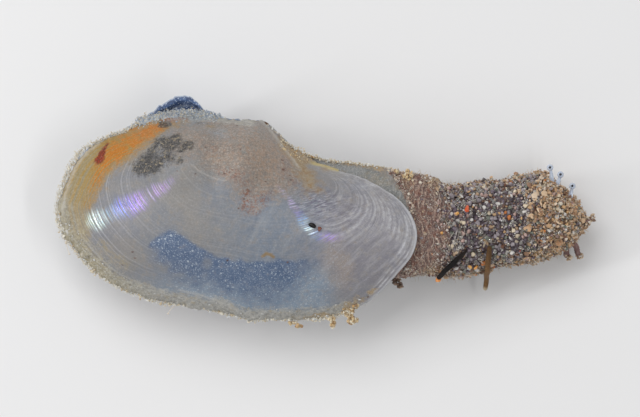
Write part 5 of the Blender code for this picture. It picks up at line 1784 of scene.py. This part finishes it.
n_flake = 1700
u = rng.random((n_flake * 6, 2))
x = 6.3 + u[:, 0] * (14.5 - 6.3)
turn = u[:, 1] * 2 * math.pi
stray = fbm(np.column_stack([x * 1.3, np.cos(turn) * 2.2, np.sin(turn) * 2.2]), 3, 371)
weight = np.maximum(smooth(10.9, 12.3, x + 1.4 * stray) * (0.35 + 0.65 * smooth(-0.2, 0.3, stray)),
                    0.8 * np.abs(np.cos(turn)) ** 8 * smooth(-0.25, 0.25, stray))
keep = rng.random(len(u)) < weight * 0.75
x, turn = x[keep][:n_flake], turn[keep][:n_flake]
fp = sleeve_full(x, turn, 0.0)
fd = out_from_middle(fp, x)
fp = fp + fd * (rng.uniform(-0.10, 0.10, (len(x), 1)) - 0.09 * (1 - smooth(10.8, 12.0, x))[:, None])
fh = (0.074 * np.exp(rng.normal(0, 0.38, len(x))))[:, None] * rng.uniform(0.55, 1.5, (len(x), 3)) * np.array([1.25, 1.0, 0.4])
fp[:, 2] = np.maximum(fp[:, 2], fh.max(axis=1))
fluff_mat = crumb_material("fluff", [
    (0.0, srgb(108, 74, 54)), (0.2, srgb(158, 114, 76)), (0.45, srgb(190, 152, 112)), (0.75, srgb(204, 176, 144)),
    (1.0, srgb(214, 202, 188)),
], 0.5)  # fmt: skip
rocks("tip_fluff", fp, fh, 515, fluff_mat, sub=1, cuts=4, cut=(0.5, 0.9), rough=0.2, squash_to=fd + rng.normal(0, 0.45, fd.shape))


# -------------------------------------------------------------------------------- fibres and twigs
def fibre_material(name, a, b, clear=0.0):
    m = Mat(name)
    f = m.noise(6.0, 2.0, 0.5)
    base = m.mix(m.add(m.mul(f, 0.6), m.mul(m.attr("tone"), 0.4)), srgb(*a), srgb(*b))
    mat = m.set(Base_Color=base, Roughness=m.math("MULTIPLY_ADD", f, 0.2, 0.3))
    if clear:
        m.shader.inputs["Transmission Weight"].default_value = clear
        m.shader.inputs["IOR"].default_value = 1.4
    return mat


pale_fibre = fibre_material("pale_fibre", (196, 184, 168), (226, 220, 210))
paths, radii = [], []
for k in range(340):
    x0 = rng.uniform(4.4, 7.4) if k < 250 else rng.uniform(6.5, 14.2)
    t0 = rng.random() * 2 * math.pi
    length = rng.uniform(0.15, 0.6) if k < 250 else rng.uniform(0.3, 1.0)
    steps = 7
    s = np.linspace(0, 1, steps)
    cross = rng.random() < (0.75 if x0 < 7.4 else 0.4)
    if cross:
        tt = t0 + s * length / 2.4
        xx = x0 + 0.12 * np.sin(s * rng.uniform(2, 5) + rng.random() * 6) + s * rng.uniform(-0.15, 0.15)
    else:
        tt = t0 + 0.1 * np.sin(s * rng.uniform(2, 6))
        xx = x0 + s * length
    xx = np.clip(xx, 4.33, 14.4)
    lift = -0.02 + 0.07 * np.sin(s * math.pi) * rng.random() + (rng.random() < 0.14) * s**2 * 0.35
    p = sleeve_full(xx, tt, 0.0)
    mid = np.stack([xx + SHIFT[0], sleeve_at(np.minimum(xx, X1))[0] + SHIFT[1], sleeve_at(np.minimum(xx, X1))[1]], -1)
    d = p - mid
    d /= np.linalg.norm(d, axis=1, keepdims=True)
    p = p + d * lift[:, None]
    if p[:, 2].min() < 0.02:
        continue
    paths.append(p)
    radii.append(rng.uniform(0.005, 0.012) * (1 - 0.6 * s**2))
tubes("sheath_fibres", paths, radii, pale_fibre, sides=5, seed=3)

# frayed ends that stand out from the outline
tan_fibre = fibre_material("tan_fibre", (168, 134, 92), (216, 194, 156))
for name, count, x_lo, x_hi, mat in (("fray_pale", 190, 4.9, 12.0, pale_fibre), ("fray_tan", 300, 11.0, 14.5, tan_fibre)):
    x = rng.uniform(x_lo, x_hi, count * 5)
    turn = rng.random(count * 5) * 2 * math.pi
    keep = rng.random(len(x)) < np.maximum(np.abs(np.cos(turn)) ** 7, 0.35 if x_lo > 10 else 0.04)
    x, turn = x[keep][:count], turn[keep][:count]
    foot = sleeve_full(x, turn, -0.04)
    way = out_from_middle(foot, x) + rng.normal(0, 0.55, foot.shape)
    way /= np.linalg.norm(way, axis=1, keepdims=True)
    long = 0.14 + 0.30 * rng.random(len(x)) ** 2.2
    curl = rng.normal(0, 0.35, foot.shape)
    s = np.linspace(0, 1, 5)
    paths, radii = [], []
    for f0, w0, l0, c0 in zip(foot, way, long, curl):
        p = f0 + (w0 * l0) * s[:, None] + c0 * l0 * (s[:, None] ** 2) * 0.6
        if p[:, 2].min() < 0.02:
            continue
        paths.append(p)
        radii.append(rng.uniform(0.009, 0.02) * (1 - 0.7 * s))
    tubes(name, paths, radii, mat, sides=4, seed=4, wobble=0.2)


# flecks caught in the folds of the bare root
n_root = 2000
u = rng.random((n_root * 3, 2))
x = 4.30 + u[:, 0] * (7.7 - 4.30)
turn = u[:, 1] * 2 * math.pi
streak = fbm(np.column_stack([x * 3.0 + 0.5 * np.sin(turn * 3), np.cos(turn) * 2.0, np.sin(turn) * 2.0]), 4, 361)
keep = rng.random(len(u)) < smooth(-0.25, 0.35, streak) * (1 - smooth(6.6, 7.7, x))
x, turn = x[keep][:n_root], turn[keep][:n_root]
rp = sleeve_full(x, turn, -0.02) + rng.normal(0, 0.025, (len(x), 3))
rh = (0.024 * np.exp(rng.normal(0, 0.45, len(x))))[:, None] * rng.uniform(0.5, 1.7, (len(x), 3))
rp[:, 2] = np.maximum(rp[:, 2], rh.max(axis=1))
fleck_mat = crumb_material("root_flecks", [
    (0.0, srgb(86, 54, 46)), (0.25, srgb(128, 92, 80)), (0.5, srgb(166, 140, 126)), (0.75, srgb(196, 180, 160)),
    (1.0, srgb(204, 200, 196)),
])  # fmt: skip
rocks("root_flecks", rp, rh, 511, fleck_mat, sub=1, cuts=4, cut=(0.55, 0.9), rough=0.15)


# crumbs that bury the strip's rear edge
rear_edge = np.array([(390, 170.5, 4.5), (397.5, 178, 5.0), (402, 187, 5.34), (407, 197, 5.5), (411, 207, 5.58), (413, 214, 5.6)])
p9 = along_line(rear_edge[:, :2], 620, rng, 1.5, 0.0)
z9 = np.interp(p9[:, 1], rear_edge[:, 1], rear_edge[:, 2]) + rng.normal(0.03, 0.06, len(p9))
h9 = (0.027 * np.exp(rng.normal(0, 0.45, len(p9))))[:, None] * rng.uniform(0.6, 1.6, (len(p9), 3))
crumbs("strip_edge", p9, z9, h9, fleck_mat, 512)


def bark_material(name, a, b, tip=None, flecks=0.4):
    m = Mat(name)
    grain = m.noise(5.0, 4.0, 0.65, vec=m.stretch((5.0, 5.0, 5.0)))
    line = m.noise(18.0, 3.0, 0.6)
    base = m.mix(m.step(grain, 0.35, 0.68), srgb(*a), srgb(*b))
    base = m.mix(m.mul(m.step(line, 0.55, 0.7), flecks), base, m.mix(0.3, base, srgb(140, 112, 86)))
    base = m.mix(m.mul(m.step(m.attr("along"), 0.5, 0.0), 0.6), base, m.mix(0.75, base, srgb(40, 26, 18)))
    if tip:
        base = m.mix(m.mul(m.step(m.attr("along"), 0.9, 0.97), 0.9), base, srgb(*tip))
    mat = m.set(
        Base_Color=base, Roughness=m.math("MULTIPLY_ADD", grain, 0.25, 0.42),
        Normal=m.bump(m.add(grain, m.mul(line, 0.5)), 0.00006, 1.0),
    )
    m.shader.inputs["Specular IOR Level"].default_value = 0.3
    return mat


def twig(name, points, radius, material, node, seed, thin=1.0):
    p = np.asarray(points, float)
    s = np.concatenate([[0], np.cumsum(np.linalg.norm(np.diff(p, axis=0), axis=1))])
    s /= s[-1]
    u = np.linspace(0, 1, 110)
    path = np.column_stack([hermite(s, p[:, k], u) for k in range(3)])
    path += np.column_stack([0.012 * np.sin(u * 17 + k * 2) for k in range(3)])
    sides = 40
    a = np.arange(sides) / sides * 2 * math.pi
    tangent = np.gradient(path, axis=0)
    tangent /= np.linalg.norm(tangent, axis=1, keepdims=True)
    side = np.cross(tangent, [0, 0, 1.0])
    side /= np.linalg.norm(side, axis=1, keepdims=True)
    up = np.cross(side, tangent)
    uu, aa = np.meshgrid(u, a, indexing="ij")
    q = np.column_stack([uu.ravel() * 5, np.cos(aa.ravel()) * 1.6, np.sin(aa.ravel()) * 1.6])
    rough = fbm(q, 3, seed).reshape(uu.shape)
    ridge = fbm(np.column_stack([uu.ravel() * 2.5, np.cos(aa.ravel()) * 5, np.sin(aa.ravel()) * 5]), 2, seed + 3).reshape(uu.shape)
    r = radius * (1 + 0.20 * rough + 0.20 * ridge + 0.10 * np.exp(-((uu - 0.42) / 0.03) ** 2))
    r *= thin + (1 - thin) * smooth(0.0, 0.32, uu + 0.1 * rough)
    r *= 1 - 0.25 * smooth(0.965, 1.0, uu) - 0.3 * smooth(0.03, 0.0, uu)
    ring = path[:, None] + r[..., None] * (np.cos(aa)[..., None] * side[:, None] + np.sin(aa)[..., None] * up[:, None])
    n = ring.shape[0] * sides
    ends = np.array([path[0] + tangent[0] * 0.03, path[-1] - tangent[-1] * 0.02])
    verts = np.concatenate([ring.reshape(-1, 3), ends])
    k = np.arange(sides)
    faces = [grid_faces(110, sides), np.column_stack([np.full(sides, n), (k + 1) % sides, k]),
             np.column_stack([np.full(sides, n + 1), 109 * sides + k, 109 * sides + (k + 1) % sides])]
    ob = add_mesh(name, verts, faces, material, True, {"along": np.concatenate([uu.ravel(), [0, 1]])})
    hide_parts(node)
    return ob


dark_path = [sleeve_top(7.90, -2.15, 0.21), sleeve_top(7.30, -2.75, 0.21), sleeve_top(6.72, -3.28, 0.21),
             np.array([6.30 + SHIFT[0], -3.72 + SHIFT[1], 4.05])]
brown_path = [sleeve_top(9.12, -2.00, 0.22), sleeve_top(9.08, -2.75, 0.22), sleeve_top(9.04, -3.20, 0.25),
              np.array([9.00 + SHIFT[0], -3.75 + SHIFT[1], 2.45]), np.array([8.95 + SHIFT[0], -4.35 + SHIFT[1], 1.75])]
twig("black_rod", dark_path, 0.138, bark_material("black_bark", (6, 5, 5), (22, 16, 14), None, 0.15), "twig_dark", 61, 0.5)
twig("brown_twig", brown_path, 0.14, bark_material("brown_bark", (92, 62, 34), (150, 112, 66), (206, 190, 160)),
     "twig_brown", 67)

# ------------------------------------------------------------------------------------ single grains
bead, _ = on_valve([312.2], [225.2], 0.07)
seed_m = Mat("black_seed")
seed_n = seed_m.noise(9.0, 3.0, 0.6)
black_mat = seed_m.set(Base_Color=seed_m.mix(seed_m.step(seed_n, 0.4, 0.7), srgb(5, 5, 6), srgb(30, 26, 24)),
                       Roughness=seed_m.math("MULTIPLY_ADD", seed_n, 0.2, 0.3), Normal=seed_m.bump(seed_n, 0.00002, 0.5))
seed_m.shader.inputs["Specular IOR Level"].default_value = 0.3
v, f = ICO[3]
turned = np.array([[math.cos(-0.45), -math.sin(-0.45), 0], [math.sin(-0.45), math.cos(-0.45), 0], [0, 0, 1]])
shape = v * np.array([0.23, 0.13, 0.11]) * (1 + 0.10 * fbm(v * 2.2, 3, 9)[:, None])
seed_ob = add_mesh("black_seed", shape @ turned.T + bead[0], f, black_mat, True, {"tone": np.full(len(v), 0.3)})
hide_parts("grain_black")
bead2, _ = on_valve([319.4], [229.0], 0.06)
rust_mat = crumb_material("rust_grain", [(0.0, srgb(104, 44, 26)), (1.0, srgb(150, 84, 54))], 0.4)
rocks("rust_grain", bead2, [[0.135, 0.15, 0.12]], 12, rust_mat, sub=3, cuts=5, rough=0.03, flat=False)
chip = sleeve_top(7.90, 0.12, 0.10)
chip_mat = crumb_material("red_chip", [(0.0, srgb(206, 66, 30)), (1.0, srgb(226, 96, 44))], 0.3)
chip_ob = rocks("red_chip", chip[None], [[0.15, 0.26, 0.10]], 15, chip_mat, sub=3, cuts=9, rough=0.01,
                squash_to=np.array([[0.0, 0.1, 1.0]]))
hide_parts("chip_red")

lig_v = ICO[3][0] * np.array([0.62, 0.33, 0.30])
lig_v = lig_v * (1 + 0.06 * fbm(lig_v * 5, 3, 8)[:, None]) + np.array([-3.42, 4.66, 3.88])
lig_m = Mat("horn")
lig_n = lig_m.noise(6.0, 3.0, 0.6, vec=lig_m.stretch((1, 4, 4)))
lig_mat = lig_m.set(Base_Color=lig_m.mix(lig_n, srgb(52, 32, 18), srgb(110, 72, 38)),
                    Roughness=lig_m.math("MULTIPLY_ADD", lig_n, 0.2, 0.25), Normal=lig_m.bump(lig_n, 0.00003, 0.6))
lig = add_mesh("ligament_pad", lig_v, ICO[3][1], lig_mat, True, {})
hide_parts("ligament")

# ------------------------------------------------------------------------------------- siphon's tip
clear_m = Mat("clear_stalk")
cn = clear_m.noise(5.0, 2.0, 0.5)
clear_mat = clear_m.set(
    Base_Color=clear_m.mix(clear_m.add(cn, clear_m.mul(clear_m.attr("along"), 0.3)), srgb(176, 192, 220), srgb(222, 230, 242)),
    Roughness=clear_m.math("MULTIPLY_ADD", cn, 0.1, 0.08),
)
clear_m.shader.inputs["Transmission Weight"].default_value = 0.3
clear_m.shader.inputs["IOR"].default_value = 1.38
clear_m.shader.inputs["Subsurface Weight"].default_value = 0.0

STALKS = [  # foot, head (drawing), height of foot and head
    ((551.5, 183), (550.5, 167.5), 3.05, 3.35),
    ((556, 186), (561.0, 174.5), 2.95, 3.25),
    ((569, 200), (573.0, 186.0), 2.75, 3.05),
]
paths, radii, eyes = [], [], []
for (fx, fy), (hx, hy), z0, z1 in STALKS:
    t = np.linspace(0, 1, 22)
    a, b = plan_points([(fx, fy), (hx, hy)])
    bend = np.array([0.05, 0.0]) * np.sin(t * math.pi)[:, None]
    paths.append(np.column_stack([a + (b - a) * t[:, None] + bend, z0 + (z1 - z0) * t]))
    radii.append(0.185 - 0.095 * smooth(0.0, 0.75, t))
    eyes.append(paths[-1][-1])
tubes("eye_stalks", paths, radii, clear_mat, sides=24, seed=5)
ring_v, ring_f, start = [], [], 0
for eye in eyes:
    # a round cup: outer ball, open on top, its mouth turned in
    phi = np.concatenate([np.linspace(-math.pi / 2 + 0.05, 0.95, 16), np.linspace(0.95, -0.2, 8)])
    rad = np.concatenate([0.185 * np.cos(phi[:16]), np.interp(np.arange(8), [0, 2, 7], [0.108, 0.085, 0.02])])
    rise = np.concatenate([0.165 * np.sin(phi[:16]), np.interp(np.arange(8), [0, 2, 7], [0.138, 0.11, 0.03])])
    a = np.arange(30) / 30 * 2 * math.pi
    pts = np.stack([eye[0] + rad[:, None] * np.cos(a), eye[1] + rad[:, None] * np.sin(a), eye[2] + rise[:, None] + 0 * a[None, :]], -1)
    ring_v.append(pts.reshape(-1, 3))
    ring_f.append(grid_faces(24, 30, start=start))
    start += 24 * 30
n_ring = len(np.concatenate(ring_v))
add_mesh("eye_cups", np.concatenate(ring_v), ring_f, clear_mat, True, {"along": np.full(n_ring, 0.8), "tone": np.full(n_ring, 0.5)})
pupil_m = Mat("pupil")
pn = pupil_m.noise(20.0, 2.0, 0.5)
pupil_mat = pupil_m.set(Base_Color=pupil_m.mix(pn, srgb(20, 20, 26), srgb(50, 46, 52)), Roughness=pupil_m.math("MULTIPLY_ADD", pn, 0.1, 0.25))
rocks("pupils", np.array(eyes) + np.array([0, 0, 0.075]), np.full((3, 3), 0.07) * np.array([1, 1, 0.5]), 19, pupil_mat, sub=3, cuts=0, rough=0.0,
      flat=False, squash_to=np.array([[0, 0, 1.0]] * 3))

finger_mat = flesh_material("tentacle_flesh", (98, 72, 72), (136, 102, 96), 0.45)
F = [((565, 246), (569.5, 257.5), 1.6, 1.25, 0.19), ((574, 243), (581.5, 256), 1.7, 1.35, 0.18),
     ((576, 232), (590, 224), 2.2, 2.5, 0.10), ((574, 226), (593, 219), 2.4, 2.7, 0.06)]  # fmt: skip
paths, radii = [], []
for (fx, fy), (hx, hy), z0, z1, r0 in F:
    s = np.linspace(0, 1, 18)
    a, b = plan_points([(fx, fy), (hx, hy)])
    xy = a + (b - a) * s[:, None] + np.column_stack([0.05 * np.sin(s * 5), 0.04 * np.cos(s * 4)])
    paths.append(np.column_stack([xy, z0 + (z1 - z0) * s]))
    radii.append(r0 * (0.75 + 0.3 * s) * np.sqrt(np.clip(1 - s**5, 0.03, 1)))
fing = tubes("tip_tentacles", paths, radii, finger_mat, sides=16, seed=9, wobble=0.13)

# scraps at the very tip
p7 = clump([(586, 224, 4, 4, 0.3), (591, 219, 3.5, 3, 0.25), (580, 230, 4, 4, 0.25), (594, 217, 2, 2, 0.2)], 90, rng)
z7 = rng.normal(2.4, 0.2, len(p7))
h7 = (0.05 * np.exp(rng.normal(0, 0.4, len(p7))))[:, None] * rng.uniform(0.4, 1.8, (len(p7), 3))
p7b = clump([(569.5, 257.5, 3.2, 3.0, 0.5), (581, 256, 3.4, 3.0, 0.5)], 70, rng)
z7b = rng.normal(1.36, 0.10, len(p7b))
h7b = (0.055 * np.exp(rng.normal(0, 0.4, len(p7b))))[:, None] * rng.uniform(0.5, 1.5, (len(p7b), 3))
crumbs("tip_scraps", np.concatenate([p7, p7b]), np.concatenate([z7, z7b]), np.concatenate([h7, h7b]), silt_mat, 509)

# a brown crumb under the rear margin, and the grain at the rod's lower end
p8 = clump([(397, 281, 4, 4, 0.5), (400, 285, 3, 2.5, 0.3), (394, 279, 3, 3, 0.2)], 150, rng)
z8 = rng.normal(2.6, 0.15, len(p8))
h8 = (0.055 * np.exp(rng.normal(0, 0.4, len(p8))))[:, None] * rng.uniform(0.5, 1.6, (len(p8), 3))
brown_mat = crumb_material("brown_crumbs", [(0.0, srgb(84, 62, 50)), (0.6, srgb(128, 100, 82)), (1.0, srgb(170, 146, 122))])
crumbs("margin_crumb", p8, z8, h8, brown_mat, 510)
glow_mat = crumb_material("orange_grain", [(0.0, srgb(214, 130, 40)), (1.0, srgb(232, 176, 96))], 0.3)
o_xy = plan_points([(438.5, 279.5), (441, 233), (457, 214), (470, 267), (476, 268)])
o_z = [3.95, float(sleeve_top(6.45, -1.22, 0.0)[2]), float(sleeve_top(7.33, -0.17, 0.0)[2]), float(sleeve_top(8.05, -3.1, 0.05)[2]), float(sleeve_top(8.4, -3.15, 0.05)[2])]
rocks("orange_grains", np.column_stack([o_xy, o_z]), [[0.25, 0.16, 0.14], [0.17, 0.13, 0.1], [0.15, 0.13, 0.1], [0.2, 0.14, 0.1], [0.16, 0.12, 0.1]], 33,
      glow_mat, sub=3, cuts=8, rough=0.01)

# two fine threads, each with a bead at the end, one of them at the front
thread = []
thread_r = []
for pts, z in [([(66, 243), (67, 248), (69.5, 255)], 3.95), ([(177, 304), (171, 309), (167.5, 314.5)], 3.95)]:
    xy = plan_points(pts)
    s = np.linspace(0, 1, 16)
    t3 = np.linspace(0, 1, len(xy))
    path = np.column_stack([hermite(t3, xy[:, 0], s), hermite(t3, xy[:, 1], s), np.full(16, z)])
    thread.append(path)
    thread_r.append(0.023 + 0.052 * np.exp(-(((s - 0.95) / 0.06) ** 2)) - 0.004 * s)
tubes("threads", thread, thread_r, pale_fibre, sides=10, seed=2)

# ---------------------------------------------------------------------------------- floor, lights
bpy.ops.mesh.primitive_plane_add(size=3.0, location=(0, 0, 0))
floor = bpy.context.object
floor.name = "floor"
fm = Mat("floor")
fn = fm.noise(0.02, 3.0, 0.5)
fm.set(
    Base_Color=fm.mix(fn, (0.76, 0.76, 0.77), (0.80, 0.80, 0.80)),
    Roughness=fm.math("MULTIPLY_ADD", fn, 0.1, 0.6),
)
floor.data.materials.append(fm.mat)


def area_light(name, at, target, size, power, colour=(1, 1, 1), size_y=None):
    data = bpy.data.lights.new(name, "AREA")
    data.energy = power
    data.color = colour
    data.size = size
    if size_y:
        data.shape = "RECTANGLE"
        data.size_y = size_y
    ob = bpy.data.objects.new(name, data)
    bpy.context.scene.collection.objects.link(ob)
    ob.location = at
    ob.rotation_euler = (Vector(target) - Vector(at)).to_track_quat("-Z", "Y").to_euler()
    ob.visible_camera = False
    return ob


def strip_light(name, at, along, length, width, power, colour=(1, 1, 1)):
    """A long narrow soft box, its long side along a given direction, facing the specimen."""
    ob = area_light(name, at, (0, 0, 0.005), length, power, colour, width)
    z = (Vector(at) - Vector((0, 0, 0.005))).normalized()
    x = Vector(along).normalized()
    x = (x - z * x.dot(z)).normalized()
    y = z.cross(x)
    from mathutils import Matrix
    ob.rotation_euler = Matrix((x, y, z)).transposed().to_euler()
    return ob


area_light("key", (-0.10, 0.16, 0.30), (0, 0, 0.004), 0.22, 0.5)
strip_light("left_strip", (-0.120, -0.003, 0.0845), (0.28, 0.38, 0.44), 0.095, 0.014, 0.05)
strip_light("right_strip", (0.072, -0.030, 0.189), (0.0, -1.0, -0.17), 0.13, 0.012, 0.05)

world = bpy.data.worlds.new("world")
bpy.context.scene.world = world
world.use_nodes = True
world.node_tree.nodes["Background"].inputs[0].default_value = (1, 1, 1, 1)
world.node_tree.nodes["Background"].inputs[1].default_value = 0.5

cam_data = bpy.data.cameras.new("camera")
cam_data.lens = 600.0
cam_data.sensor_width = 36.0
cam = bpy.data.objects.new("camera", cam_data)
bpy.context.scene.collection.objects.link(cam)
centre = to_plan(320.0, 208.5) * MM
span = 640.0 / 18.0 * MM
cam.location = (centre[0], centre[1], 0.0045 + cam_data.lens / 36.0 * span)
cam.rotation_euler = (0, 0, 0)
cam_data.clip_start, cam_data.clip_end = 0.01, 10.0
bpy.context.scene.camera = cam
bpy.context.scene.view_settings.view_transform = "Standard"
